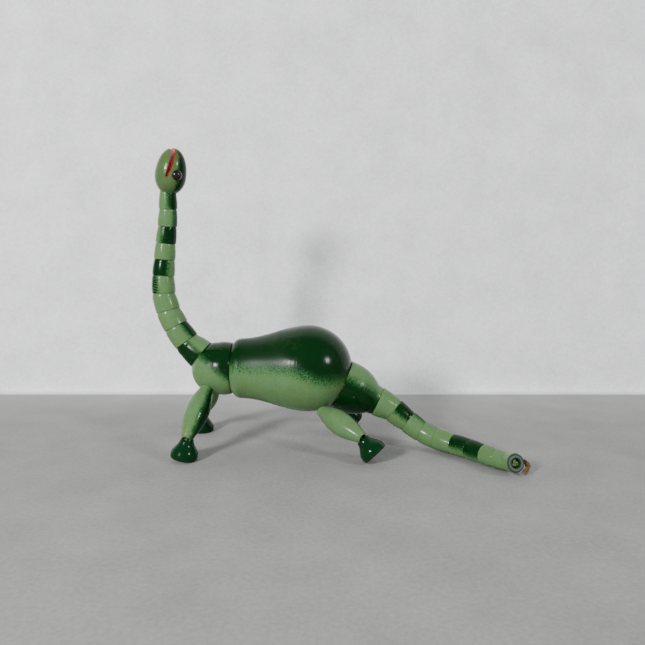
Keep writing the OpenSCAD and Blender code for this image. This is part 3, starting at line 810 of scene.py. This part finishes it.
class DINO_OT_spine_cord(bpy.types.Operator):
    """String the head, neck, chest, torso and tail on one twisted cord with a knot at each end"""

    bl_idname = "dino.spine_cord"
    bl_label = "Spine cord"

    # How deep the end bead's knot lies under its face
    TIP_KNOT_DEPTH = 1.8 * MM
    # How much of the end bead's knot is enamelled
    TIP_ENAMEL = 0.85

    def execute(self, context):
        chain = ["head", *reversed(NECK), "chest", "torso", *TAIL]
        away = {body: axis_of(body) for body in chain}
        seats = []
        corners = []
        for a, b in zip(chain, chain[1:]):
            towards_head = a != "torso" and b not in TAIL
            child, parent = (a, b) if towards_head else (b, a)
            if child in (NECK[0], TAIL[0]):
                # The bores of the chest and of the torso turn at the ball's centre
                seats.append(crossing(child, away[child], away[child]))
                corners += [seats[-1], pivot(child)] if towards_head else [pivot(child), seats[-1]]
            else:
                seats.append(crossing(child, away[parent], away[child]))
                corners.append(seats[-1])
        sizes = context.scene.dino_cord
        packed_cord = frame["nodes"]["spine_cord"].data.vertices
        cord_end = max((vertex.co - pivot("head")).dot(away["head"]) for vertex in packed_cord)
        head_knot = pivot("head") + (cord_end - sizes.knot) * away["head"]
        tip_face = pivot(TAIL[-1]) + reach_along(TAIL[-1])[1] * away[TAIL[-1]]
        tip_knot = tip_face - self.TIP_KNOT_DEPTH * away[TAIL[-1]]
        string_run(chain, seats, [head_knot, *corners, tip_knot], "spine_cord")

        fibre = bpy.data.materials["spine_cord_fibre"]
        knot = tied_knot("head_knot", head_knot, away["head"], sizes.knot)
        hide_rest(knot, fibre, "spine_cord")
        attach(knot, "head")
        knot = tied_knot("tip_knot", tip_knot, away[TAIL[-1]], sizes.tip_knot)
        sprayed = cord_material("sprayed_knot", context.scene.dino_paint.cord, self.TIP_ENAMEL)
        hide_rest(knot, sprayed, "spine_cord")
        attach(knot, TAIL[-1])
        return {"FINISHED"}


class DINO_OT_leg_cords(bpy.types.Operator):
    """Hang each pair of legs on one twisted cord that ends in a knot in each sole"""

    bl_idname = "dino.leg_cords"
    bl_label = "Leg cords"

    # How deep the knot lies in the sole, and how far the front cord passes over the spine cord
    SOLE_KNOT_DEPTH = 2.3 * MM
    FRONT_LIFT = 1 * MM
    # How much of the leg cords is enamelled with the legs
    ENAMEL = 0.85

    def execute(self, context):
        for end, body in (("front", "chest"), ("rear", "torso")):
            self.hang(context, end, body)
        return {"FINISHED"}

    def hang(self, context, end, body):
        """Lays the cord of one pair of legs, from sole to sole through the body's middle."""
        legs = {side: f"{end}_{side}_leg" for side in ("left", "right")}
        feet = {side: f"{end}_{side}_foot" for side in ("left", "right")}
        mirrored = Vector((1, -1, 1))
        middle_y = pivot(TAIL[0]).y
        outward = (axis_of(legs["left"]) + axis_of(legs["right"]) * mirrored).normalized()
        hip = pivot(legs["left"])
        meeting = hip + (middle_y - hip.y) / outward.y * outward
        if end == "front":
            meeting += self.FRONT_LIFT * Z

        seats = []
        knots = {}
        for side, bore in (("left", outward), ("right", outward * mirrored)):
            leg, foot = legs[side], feet[side]
            ball = -reach_along(leg)[0]
            at_hip = pivot(leg) - ball * (bore + axis_of(leg)).normalized()
            at_ankle = crossing(foot, axis_of(leg), axis_of(foot))
            knots[side] = pivot(foot) + (reach_along(foot)[1] - self.SOLE_KNOT_DEPTH) * axis_of(foot)
            seats += [at_ankle, at_hip] if side == "left" else [at_hip, at_ankle]
        cord = f"{end}_leg_cord"
        chain = [feet["left"], legs["left"], body, legs["right"], feet["right"]]
        corners = [knots["left"], *seats[:2], meeting, *seats[2:], knots["right"]]
        string_run(chain, seats, corners, cord, self.ENAMEL)

        fibre = bpy.data.materials[f"{cord}_fibre"]
        for side, foot in feet.items():
            knot = tied_knot(f"{foot}_knot", knots[side], axis_of(foot), context.scene.dino_cord.knot)
            hide_rest(knot, fibre, cord)
            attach(knot, foot)


class DINO_OT_frayed_end(bpy.types.Operator):
    """Let a frayed strand out behind the end bead and down its right side"""

    bl_idname = "dino.frayed_end"
    bl_label = "Frayed end"

    COLOUR = (0.17, 0.078, 0.014)
    # Points in the last ball's bore, along the bore and towards the open side of the seat, in mm
    IN_BORE = [(1, 1.2), (5.4, 1.5)]
    # Points beside the end bead, along its axis, to its right and up, in mm
    BESIDE_TIP = [(3.9, 6.4, -0.6), (8, 8.2, 0.2), (9, 9.7, -2.6), (9.8, 8.2, -4.9), (10.4, 5.4, -6.7)]
    # How far the fibres have spread from the strand's middle at each point, in mm
    SPREAD = [0.3, 0.32, 0.5, 1.2, 1.7, 1.6, 1.5]
    # A fibre's radius and how it thins, how it winds and strays from one point to the next
    FIBRE_R = 0.17 * MM
    THINNING = 0.08
    WINDING = 0.7
    STRAYING = 0.08 * MM
    # The ranges from which each fibre takes its share of the spread, and its unevenness
    SHARES = (0.35, 1)
    UNEVEN = (0.8, 1.2)
    # How many fibres are broken, and how far back
    BROKEN = 0.4
    BROKEN_BACK = (0.2, 0.6)

    def execute(self, context):
        chance = random.Random(11)
        tip = TAIL[-1]
        start = pivot(tip)
        bore = axis_of(TAIL[-2])
        axis = axis_of(tip)
        open_side = -square_to(axis, bore)
        right = Z.cross(axis).normalized()
        up = axis.cross(right)
        middle = [start + MM * (a * bore + b * open_side) for a, b in self.IN_BORE]
        middle += [start + MM * (a * axis + b * right + c * up) for a, b, c in self.BESIDE_TIP]
        count = context.scene.dino_cord.fibres
        fibres = [self.fibre(chance, middle, 2 * math.pi * number / count) for number in range(count)]
        piece = joined("frayed_fibres", fibres)
        hide_rest(piece, cord_material("frayed_fibre", self.COLOUR), "frayed_end")
        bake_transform(piece)
        return {"FINISHED"}

    def fibre(self, chance, middle, turn):
        """One fibre that winds along the strand's middle, further out as the strand opens."""
        share = chance.uniform(*self.SHARES)
        path = []
        radii = []
        for index, (point, spread) in enumerate(zip(middle, self.SPREAD)):
            ahead = (middle[min(index + 1, len(middle) - 1)] - middle[max(index - 1, 0)]).normalized()
            side = square_to(ODD_WAY, ahead)
            over = ahead.cross(side)
            angle = turn + self.WINDING * index
            out = MM * spread * share * chance.uniform(*self.UNEVEN)
            loose = Vector([chance.uniform(-1, 1) for _ in range(3)])
            path.append(point + out * (math.cos(angle) * side + math.sin(angle) * over)
                        + self.STRAYING * index * loose)
            radii.append(self.FIBRE_R * (1 - self.THINNING * index))
        if chance.random() < self.BROKEN:
            path[-1] = path[-1].lerp(path[-2], chance.uniform(*self.BROKEN_BACK))
        return tube("fibre", path, radii, sides=0)


class DINO_OT_neck_enamel(bpy.types.Operator):
    """Paint the ten neck beads, with finger scratches in the spray of the fifth"""

    bl_idname = "dino.neck_enamel"
    bl_label = "Neck enamel"

    SCRATCHED = "neck_bead_05"

    def execute(self, context):
        for number, (bead, turn) in enumerate(zip(NECK, NECK_SPRAY)):
            side = round_neck(axis_of(bead), turn)
            paint_on(bead, bead_material(bead, side, seed=number + 1, scratched=bead == self.SCRATCHED))
        return {"FINISHED"}


class DINO_OT_tail_enamel(bpy.types.Operator):
    """Paint the tail beads, with a grey painted highlight ring and painted shade on the end bead's face"""

    bl_idname = "dino.tail_enamel"
    bl_label = "Tail enamel"

    # The first and largest bead has a wider fade, and the end bead has its own
    FIRST_SOFT = 3.8 * MM
    END_CUT = 3.5 * MM
    END_SOFT = 1.2 * MM
    # The end bead's face: the inner and outer edge of its painted highlight ring, its recess, and their
    # colours: grey painted highlight, grey painted shade on the rest of the face, and dark green in the
    # recess
    HIGHLIGHT_RING = (3.3 * MM, 3.7 * MM, 4.4 * MM, 4.9 * MM)
    RECESS_R = 3.1 * MM
    HIGHLIGHT_RING_COLOUR = (0.08, 0.105, 0.086)
    SHADED_FACE_COLOUR = (0.028, 0.045, 0.034)
    RECESS_COLOUR = (0.012, 0.045, 0.014)
    # Where the recess starts along the bead
    RECESS_FROM = (8 * MM, 9 * MM)

    def execute(self, context):
        for number, (bead, turn) in enumerate(zip(TAIL[:-1], TAIL_SPRAY)):
            side = round_tail(axis_of(bead), turn)
            soft = self.FIRST_SOFT if number == 0 else None
            paint_on(bead, bead_material(bead, side, seed=number + 21, soft=soft))
        paint_on(TAIL[-1], self.end_bead())
        return {"FINISHED"}

    def end_bead(self):
        """The end bead, with a grey painted highlight ring and painted shade on its face round a dark recess.
        """
        tip = TAIL[-1]
        axis = axis_of(tip)
        side = round_tail(axis, TAIL_SPRAY[-1])
        recipe = TurnedRecipe("end_bead_enamel", start_of(tip), axis, side, seed=41)
        low, high = reach_along(tip)
        cover = recipe.spray(recipe.across, self.END_CUT, self.END_SOFT)
        face = recipe.along.rise(high - 0.9 * MM, high - 0.3 * MM)
        # A grey painted highlight ring over grey painted shade on the face
        ring = recipe.radial.within(*self.HIGHLIGHT_RING)
        grey = recipe.mix(ring, self.SHADED_FACE_COLOUR, self.HIGHLIGHT_RING_COLOUR)
        recess = recipe.radial.rise(self.RECESS_R + 0.1 * MM, self.RECESS_R - 0.1 * MM)
        brushed = recipe.shade(grey, 0.5 + recipe.streaks(squeeze=0.2, size=1.1 * MM, detail=3))
        face_colour = recipe.mix(recess, brushed, self.RECESS_COLOUR)
        deep = recipe.radial.rise(self.RECESS_R, self.RECESS_R - 0.15 * MM)
        deep = deep * recipe.along.rise(*self.RECESS_FROM)
        painted = recipe.mix(face, recipe.two_greens(cover), face_colour)
        painted = recipe.mix(deep, painted, self.RECESS_COLOUR)
        inside = recipe.bore_bare(BEAD_BORE) * recipe.along.rise(high - 3 * MM, high - 4 * MM)
        bare = recipe.most(inside, recipe.seat_bare(pivot(tip), seat_radius(tip)), recipe.rim_bare(low))
        return recipe.enamelled(painted, bare)


class DINO_OT_body_enamel(bpy.types.Operator):
    """Paint the torso and the chest, whose backs are sprayed dark"""

    bl_idname = "dino.body_enamel"
    bl_label = "Body enamel"

    TORSO_CUT = 3.6 * MM
    TORSO_SOFT = 4.8 * MM
    # How much further down the spray comes at the rear, and between which places along the torso
    REAR_LOWER = 9 * MM
    REAR = (18 * MM, -14 * MM)
    # Where the waist is along the torso, and how dull hands have made it
    WAIST = (10 * MM, 20 * MM, 44 * MM, 50 * MM)
    WAIST_DULL = 0.5
    # Where a hand has rubbed the crest, how far, and the colour it has left
    CREST = (15 * MM, 20 * MM)
    CREST_ALONG = (2 * MM, 8 * MM, 22 * MM, 30 * MM)
    RUBBED = 0.22
    RUBBED_COLOUR = (0.045, 0.07, 0.02)
    CHEST_CUT = 1.7 * MM
    CHEST_SOFT = 2.6 * MM
    CHEST_SIDE = Vector((0.614, 0, 0.787))

    def execute(self, context):
        paint_on("torso", self.torso())
        paint_on("chest", self.chest())
        return {"FINISHED"}

    def hips(self, recipe, end):
        """Bare wood in the two hip seats."""
        legs = [f"{end}_{side}_leg" for side in ("left", "right")]
        return recipe.most(*(recipe.seat_bare(pivot(leg), SEAT_GAP - reach_along(leg)[0]) for leg in legs))

    def torso(self):
        """The torso, with its dull waist and chips round its front edge."""
        axis = axis_of("torso")
        recipe = TurnedRecipe("torso_enamel", start_of("torso"), axis, square_to(Z, axis), seed=51)
        towards = recipe.across + recipe.along.rise(*self.REAR) * self.REAR_LOWER
        cover = recipe.spray(towards, self.TORSO_CUT, self.TORSO_SOFT)
        front = reach_along("torso")[1]
        edge = recipe.along.rise(front - 6 * MM, front - 3 * MM)
        bare = recipe.most(
            recipe.bore_bare(BEAD_BORE), self.hips(recipe, "rear"),
            recipe.chips(edge, size=1.6 * MM, amount=0.14, low=0.74, high=0.77),
        )
        colour = self.rubbed(recipe, recipe.two_greens(cover))
        dull = recipe.most(recipe.along.within(*self.WAIST) * self.WAIST_DULL, recipe.dry_spray(cover))
        return recipe.enamelled(colour, bare, matt=dull)

    def rubbed(self, recipe, colour):
        """The faint olive trace where a hand has rubbed the crest."""
        place = recipe.across.rise(*self.CREST) * recipe.along.within(*self.CREST_ALONG)
        patchy = recipe.blots(4 * MM, detail=4, roughness=0.65).rise(0.45, 0.7)
        return recipe.mix(place * (patchy * self.RUBBED), colour, self.RUBBED_COLOUR)

    def chest(self):
        """The chest, sprayed from above and behind."""
        start = pivot(NECK[0])
        axis = axis_of("chest")
        recipe = TurnedRecipe("chest_enamel", start, axis, square_to(Z, axis), seed=52)
        towards = recipe.vector("DOT_PRODUCT", recipe.from_start, self.CHEST_SIDE)
        cover = recipe.spray(towards, self.CHEST_CUT, self.CHEST_SOFT)
        low = reach_along("chest")[0] - (start - pivot("chest")).length
        bare = recipe.most(
            recipe.bore_bare(BEAD_BORE), self.hips(recipe, "front"),
            recipe.seat_bare(pivot("chest"), seat_radius("chest")), recipe.rim_bare(low),
        )
        return recipe.enamelled(recipe.two_greens(cover), bare, matt=recipe.dry_spray(cover))


class DINO_OT_head_enamel(bpy.types.Operator):
    """Paint the head: a dark crown, a red mouth and a brushed nostril on each side"""

    bl_idname = "dino.head_enamel"
    bl_label = "Head enamel"

    CROWN_CUT = 1.6 * MM
    CROWN_SOFT = 1.5 * MM
    # How handling has browned the head's enamel
    BROWNED = (0.74, 0.66, 0.6)
    HEAD_LEN = 31.4 * MM
    # The mouth's saw cut: its inner end, its place towards the chin there and at the nose, and its widths
    MOUTH_END = 12.8 * MM
    MOUTH_CHIN = 5.8 * MM
    MOUTH_NOSE = 1.7 * MM
    MOUTH_TAPER = 6 * MM
    MOUTH_WIDTHS = (1.3 * MM, 2.5 * MM)
    # Between which depths the mouth's red paint brightens into painted light, which lifts the shade deep
    # inside the saw cut
    RED_DEPTHS = (0.2 * MM, 1.6 * MM)
    # The head's widest place, its radius there, and how it thins with the square of the way from there
    WIDEST = 13 * MM
    WIDEST_R = 10.2 * MM
    THINNING = 21
    # Each nostril's stroke, towards the crown and along the head
    NOSTRIL = ((-0.25 * MM, 28 * MM), (1.45 * MM, 26.1 * MM))
    NOSTRIL_WIDTH = 0.9 * MM

    def execute(self, context):
        paint_on("head", self.head())
        axis = axis_of("head")
        recipe = TurnedRecipe("plug_wood", pivot("head"), axis, self.crown(axis), seed=62)
        wood = recipe.bare_wood(context.scene.dino_paint.wood)
        grain = recipe.bump(recipe.streaks(squeeze=0.05, size=0.4 * MM, detail=3), 0.04 * MM)
        paint_on("head_plug", recipe.finish(wood, 0.6, grain))
        return {"FINISHED"}

    def crown(self, axis):
        """The direction towards the top of the head."""
        left = surface_centre("left_eye") - surface_centre("right_eye")
        return (-square_to(left, axis)).cross(axis).normalized()

    def head(self):
        """The head, browned by handling, with its nostrils, and its mouth of red paint brightened deep in the
        cut by painted light.
        """
        paint = bpy.context.scene.dino_paint
        axis = axis_of("head")
        recipe = TurnedRecipe("head_enamel", pivot("head"), axis, self.crown(axis), seed=61)
        cover = recipe.spray(recipe.across, self.CROWN_CUT, self.CROWN_SOFT)
        colour = recipe.stretched(recipe.two_greens(cover), self.BROWNED)
        colour = recipe.mix(self.stroke(recipe), colour, paint.nostril)

        inside = self.mouth(recipe)
        past_widest = recipe.along - self.WIDEST
        depth = self.WIDEST_R - past_widest * past_widest * self.THINNING - recipe.radial
        # Red paint, brightened with depth into the cut as painted light
        red = recipe.mix(depth.rise(*self.RED_DEPTHS), paint.mouth, paint.inner_mouth_painted_light)
        colour = recipe.mix(inside, colour, red)

        seat = recipe.seat_bare(pivot("head"), seat_radius("head"))
        bare = recipe.most(seat, recipe.rim_bare(reach_along("head")[0])) * (1 - inside)
        return recipe.enamelled(colour, bare)

    def mouth(self, recipe):
        """The inside of the saw cut, which widens from its inner end."""
        slant = (self.MOUTH_CHIN - self.MOUTH_NOSE) / (self.HEAD_LEN - self.MOUTH_END)
        along_cut = recipe.along - self.MOUTH_END
        middle = along_cut * slant - self.MOUTH_CHIN
        narrow, wide = self.MOUTH_WIDTHS
        half = (narrow / 2 + 0.04 * MM) + along_cut.rise(0, self.MOUTH_TAPER) * ((wide - narrow) / 2)
        off = abs(recipe.across - middle) - half
        return off.rise(0.1 * MM, -0.04 * MM) * along_cut.rise(-0.9 * MM, -0.7 * MM)

    def stroke(self, recipe):
        """A short brush stroke with rough edges, the same on both sides."""
        (x0, z0), (x1, z1) = self.NOSTRIL
        length = math.hypot(x1 - x0, z1 - z0)
        ahead = ((x1 - x0) / length, (z1 - z0) / length)
        from_x = recipe.across - x0
        from_z = recipe.along - z0
        run = from_x * ahead[0] + from_z * ahead[1]
        aside = abs(from_x * ahead[1] - from_z * ahead[0])
        ragged = aside + (recipe.blots(0.4 * MM) - 0.5) * (0.5 * MM)
        body = ragged.rise(self.NOSTRIL_WIDTH / 2 + 0.1 * MM, self.NOSTRIL_WIDTH / 2 - 0.15 * MM)
        ends = run.within(-0.3 * MM, 0.1 * MM, length - 0.1 * MM, length + 0.3 * MM)
        return body * ends * abs(recipe.beside).rise(1.2 * MM, 1.6 * MM)


class DINO_OT_eyes(bpy.types.Operator):
    """Lacquer the two domed tacks that make the eyes"""

    bl_idname = "dino.eyes"
    bl_label = "Eyes"

    WORN_COLOUR = (0.06, 0.035, 0.02)

    def execute(self, context):
        for eye in ("left_eye", "right_eye"):
            recipe = Recipe(f"{eye}_lacquer")
            worn = recipe.cloud(recipe.place, 0.8 * MM, detail=4, roughness=0.7).rise(0.62, 0.7)
            colour = recipe.mix(worn * 0.4, context.scene.dino_paint.eye, self.WORN_COLOUR)
            normal = recipe.bump(recipe.cloud(recipe.place, 1.2 * MM), 0.02 * MM)
            paint_on(eye, recipe.finish(colour, 0.2 + worn * 0.3, normal, Specular_IOR_Level=0.35))
        return {"FINISHED"}


class DINO_OT_legs(bpy.types.Operator):
    """Paint the four spindle legs, each with a dark stripe down its back or its right side"""

    bl_idname = "dino.legs"
    bl_label = "Legs"

    # Which way each leg's stripe faces, and where the stripe's edge lies from the leg's axis
    STRIPES = {
        "front_left_leg": (Vector((0.957, 0.29, 0)), 2.7 * MM),
        "front_right_leg": (Vector((0.3, 0.95, 0)), 1.5 * MM),
        "rear_left_leg": (Vector((0.3, 0.95, 0)), 1.8 * MM),
        "rear_right_leg": (Vector((0.4, 0.9, 0)), 1.8 * MM),
    }
    STRIPE_SOFT = 1.6 * MM
    # The enamel reaches a little way into the bore
    WOOD_R = LEG_BORE - 0.3 * MM

    def execute(self, context):
        for number, leg in enumerate(LEGS):
            facing, cut = self.STRIPES[leg]
            axis = axis_of(leg)
            side = square_to(facing, axis)
            recipe = TurnedRecipe(f"{leg}_enamel", pivot(leg), axis, side, seed=number + 71)
            cover = recipe.spray(recipe.across, cut, self.STRIPE_SOFT)
            chips = recipe.blots(1.2 * MM, detail=3, roughness=0.6).rise(0.8, 0.82)
            bare = recipe.most(recipe.bore_bare(self.WOOD_R), chips)
            paint_on(leg, recipe.enamelled(recipe.two_greens(cover), bare))
        return {"FINISHED"}


class DINO_OT_feet(bpy.types.Operator):
    """Paint the four bell-shaped feet dark green, worn to stained wood on the soles"""

    bl_idname = "dino.feet"
    bl_label = "Feet"

    SOLE_WEAR = 0.5 * MM
    # How far the edge of the worn sole wanders
    RAGGED = 2.2 * MM
    WOOD_R = 1.2 * MM
    GLOSS = 1.1

    def execute(self, context):
        paint = context.scene.dino_paint
        for number, foot in enumerate(FEET):
            axis = axis_of(foot)
            recipe = TurnedRecipe(f"{foot}_enamel", pivot(foot), axis, square_to(X, axis), seed=number + 81)
            high = reach_along(foot)[1]
            height = recipe.along + (recipe.blots(1.5 * MM, detail=4) - 0.5) * self.RAGGED
            worn = height.rise(high - self.SOLE_WEAR, high - 0.4 * self.SOLE_WEAR)
            tint = recipe.mix(recipe.blots(3 * MM), paint.feet, recipe.shade(paint.feet, 1.35))
            colour = recipe.mix(worn, tint, recipe.bare_wood(paint.sole))
            paint_on(foot, recipe.enamelled(colour, recipe.bore_bare(self.WOOD_R), gloss=self.GLOSS))
        return {"FINISHED"}


class DINO_OT_stage(bpy.types.Operator):
    """Set out the floor, the wall behind, two soft lamps and the pale surround"""

    bl_idname = "dino.stage"
    bl_label = "Stage"

    REACH = 3.0
    # The floor's turned rim, and the round in which the wall turns up a little above the floor
    RIM = 20 * MM
    RIM_DROP = 3 * MM
    FILLET = 3 * MM
    FOOT = 4 * FILLET
    FOOT_LIFT = 0.1 * MM
    # How much painted light brightens the floor towards the wall, and between which places
    BACK_PAINTED_LIGHT = 0.36
    BACK = (20 * MM, 190 * MM)
    LAMP_DISTANCE = 1.05
    LAMP_WIDTH = 0.18
    KEY_FROM = Vector((-0.517, -0.785, 0.342))
    FILL_FROM = Vector((0.746, -0.529, 0.409))
    PALE = (0.97, 0.985, 1, 1)

    def execute(self, context):
        settings = context.scene.dino_stage
        self.floor(settings)
        self.wall(settings)
        target = pivot(TAIL[0])
        self.lamp("left_lamp", target, self.KEY_FROM, settings.key_power)
        self.lamp("right_lamp", target, self.FILL_FROM, settings.fill_power)
        self.surround(context, settings)
        return {"FINISHED"}

    def paper(self, name, colour, painted_light_at_back=False):
        """Smooth paper with a faint mottle, which can't be seen from behind, and with painted light
        brightening it towards the back if asked.
        """
        recipe = Recipe(name)
        blotches = recipe.cloud(recipe.place, 45 * MM, detail=4, roughness=0.6) * 0.5
        pulp = recipe.cloud(recipe.place, 2.2 * MM, detail=4, roughness=0.7) * 0.6
        tone = 0.45 + (blotches + pulp)
        if painted_light_at_back:
            parts = recipe.add("ShaderNodeSeparateXYZ")
            recipe.feed(parts.inputs[0], recipe.place)
            # Painted light: the floor grows brighter towards the wall
            tone = tone + Value(recipe, parts.outputs[1]).rise(*self.BACK) * self.BACK_PAINTED_LIGHT
        fine = recipe.bump(recipe.cloud(recipe.place, 0.7 * MM, detail=2), 0.02 * MM)
        return recipe.finish(recipe.shade(colour, tone), 0.85, fine, one_sided=True, IOR=1.3)

    def floor(self, settings):
        """A large flat sheet with its rim turned down, brightened towards the wall by painted light."""
        deselect()
        bpy.ops.mesh.primitive_plane_add(size=2 * self.REACH, location=(0, 0, -self.RIM_DROP))
        floor = bpy.context.object
        floor.name = "floor"
        bpy.ops.object.transform_apply(location=True, rotation=True, scale=True)
        bpy.ops.object.mode_set(mode="EDIT")
        bpy.ops.mesh.select_all(action="SELECT")
        bpy.ops.mesh.inset(thickness=self.RIM)
        bpy.ops.transform.translate(value=(0, 0, self.RIM_DROP))
        bpy.ops.object.mode_set(mode="OBJECT")
        floor.data.materials.append(self.paper("floor_paper", settings.floor, painted_light_at_back=True))

    def choose_edges(self, sheet, wanted):
        """Goes into edit mode with those edges selected whose two ends pass a test."""
        bpy.ops.object.mode_set(mode="EDIT")
        bpy.ops.mesh.select_mode(type="EDGE")
        bpy.ops.mesh.select_all(action="DESELECT")
        bpy.ops.object.mode_set(mode="OBJECT")
        for edge in sheet.data.edges:
            edge.select = all(wanted(sheet.data.vertices[end].co) for end in edge.vertices)
        bpy.ops.object.mode_set(mode="EDIT")

    def wall(self, settings):
        """A sheet that starts flat on the floor, turns up in a small round and stands behind the toy."""
        deselect()
        wall_y = pivot(TAIL[0]).y + settings.wall_distance
        bpy.ops.mesh.primitive_plane_add(size=2 * self.REACH, location=(0, wall_y, self.REACH))
        wall = bpy.context.object
        wall.name = "wall"
        wall.rotation_euler = (math.pi / 2, 0, 0)
        bpy.ops.object.transform_apply(location=True, rotation=True, scale=True)
        self.choose_edges(wall, lambda end: abs(end.z) < MM)
        bpy.ops.mesh.extrude_region_move(TRANSFORM_OT_translate={"value": (0, -self.FOOT, self.FOOT_LIFT)})
        self.choose_edges(wall, lambda end: abs(end.z) < self.FOOT_LIFT / 2 and abs(end.y - wall_y) < MM)
        bpy.ops.mesh.bevel(offset=self.FILLET, segments=8, affect="EDGES")
        bpy.ops.mesh.select_all(action="SELECT")
        bpy.ops.mesh.normals_make_consistent(inside=False)
        bpy.ops.object.mode_set(mode="OBJECT")
        if max(wall.data.polygons, key=lambda face: face.area).normal.y > 0:
            bpy.ops.object.mode_set(mode="EDIT")
            bpy.ops.mesh.flip_normals()
            bpy.ops.object.mode_set(mode="OBJECT")
        bpy.ops.object.shade_smooth_by_angle(angle=math.radians(30))
        wall.data.materials.append(self.paper("wall_paper", settings.wall))

    def lamp(self, name, target, direction, power):
        """A round soft lamp that shines on the toy from one direction."""
        deselect()
        direction = direction.normalized()
        bpy.ops.object.light_add(type="AREA", location=target + self.LAMP_DISTANCE * direction)
        lamp = bpy.context.object
        lamp.name = name
        lamp.rotation_euler = direction.to_track_quat("Z", "Y").to_euler()
        lamp.data.shape = "DISK"
        lamp.data.size = self.LAMP_WIDTH
        lamp.data.energy = power

    def surround(self, context, settings):
        """Pale light from all round."""
        world = bpy.data.worlds.new("pale_surround")
        world.use_nodes = True
        background = world.node_tree.nodes["Background"]
        background.inputs["Color"].default_value = self.PALE
        background.inputs["Strength"].default_value = settings.surround
        context.scene.world = world


class DINO_PT_panel(bpy.types.Panel):
    """The steps that dress the dinosaur, and their settings"""

    bl_idname = "DINO_PT_panel"
    bl_label = "Strung dinosaur"
    bl_space_type = "VIEW_3D"
    bl_region_type = "UI"
    bl_category = "Dinosaur"

    def draw(self, context):
        """Shows each step as a button, and each group of settings in a box."""
        for step in STEPS:
            self.layout.operator(step.bl_idname)
        for attribute, group in SETTINGS.items():
            box = self.layout.box()
            settings = getattr(context.scene, attribute)
            for name in group.__annotations__:
                box.prop(settings, name)


SETTINGS = {
    "dino_paint": PaintColours,
    "dino_finish": PaintFinish,
    "dino_cord": CordSizes,
    "dino_stage": StageSettings,
}
# The camera and the cords come first
STEPS = (
    DINO_OT_camera, DINO_OT_spine_cord, DINO_OT_leg_cords, DINO_OT_frayed_end,
    DINO_OT_neck_enamel, DINO_OT_tail_enamel, DINO_OT_body_enamel, DINO_OT_head_enamel,
    DINO_OT_eyes, DINO_OT_legs, DINO_OT_feet, DINO_OT_stage,
)


def register():
    """Registers the settings, the operators and the panel."""
    for group in (*SETTINGS.values(), *STEPS, DINO_PT_panel):
        bpy.utils.register_class(group)
    for attribute, group in SETTINGS.items():
        setattr(bpy.types.Scene, attribute, bpy.props.PointerProperty(type=group))


def unregister():
    """Takes back what register has added."""
    for attribute in SETTINGS:
        delattr(bpy.types.Scene, attribute)
    for group in reversed((*SETTINGS.values(), *STEPS, DINO_PT_panel)):
        bpy.utils.unregister_class(group)


def main():
    """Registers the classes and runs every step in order."""
    register()
    for step in STEPS:
        family, name = step.bl_idname.split(".")
        getattr(getattr(bpy.ops, family), name)()


if __name__ == "__main__":
    main()
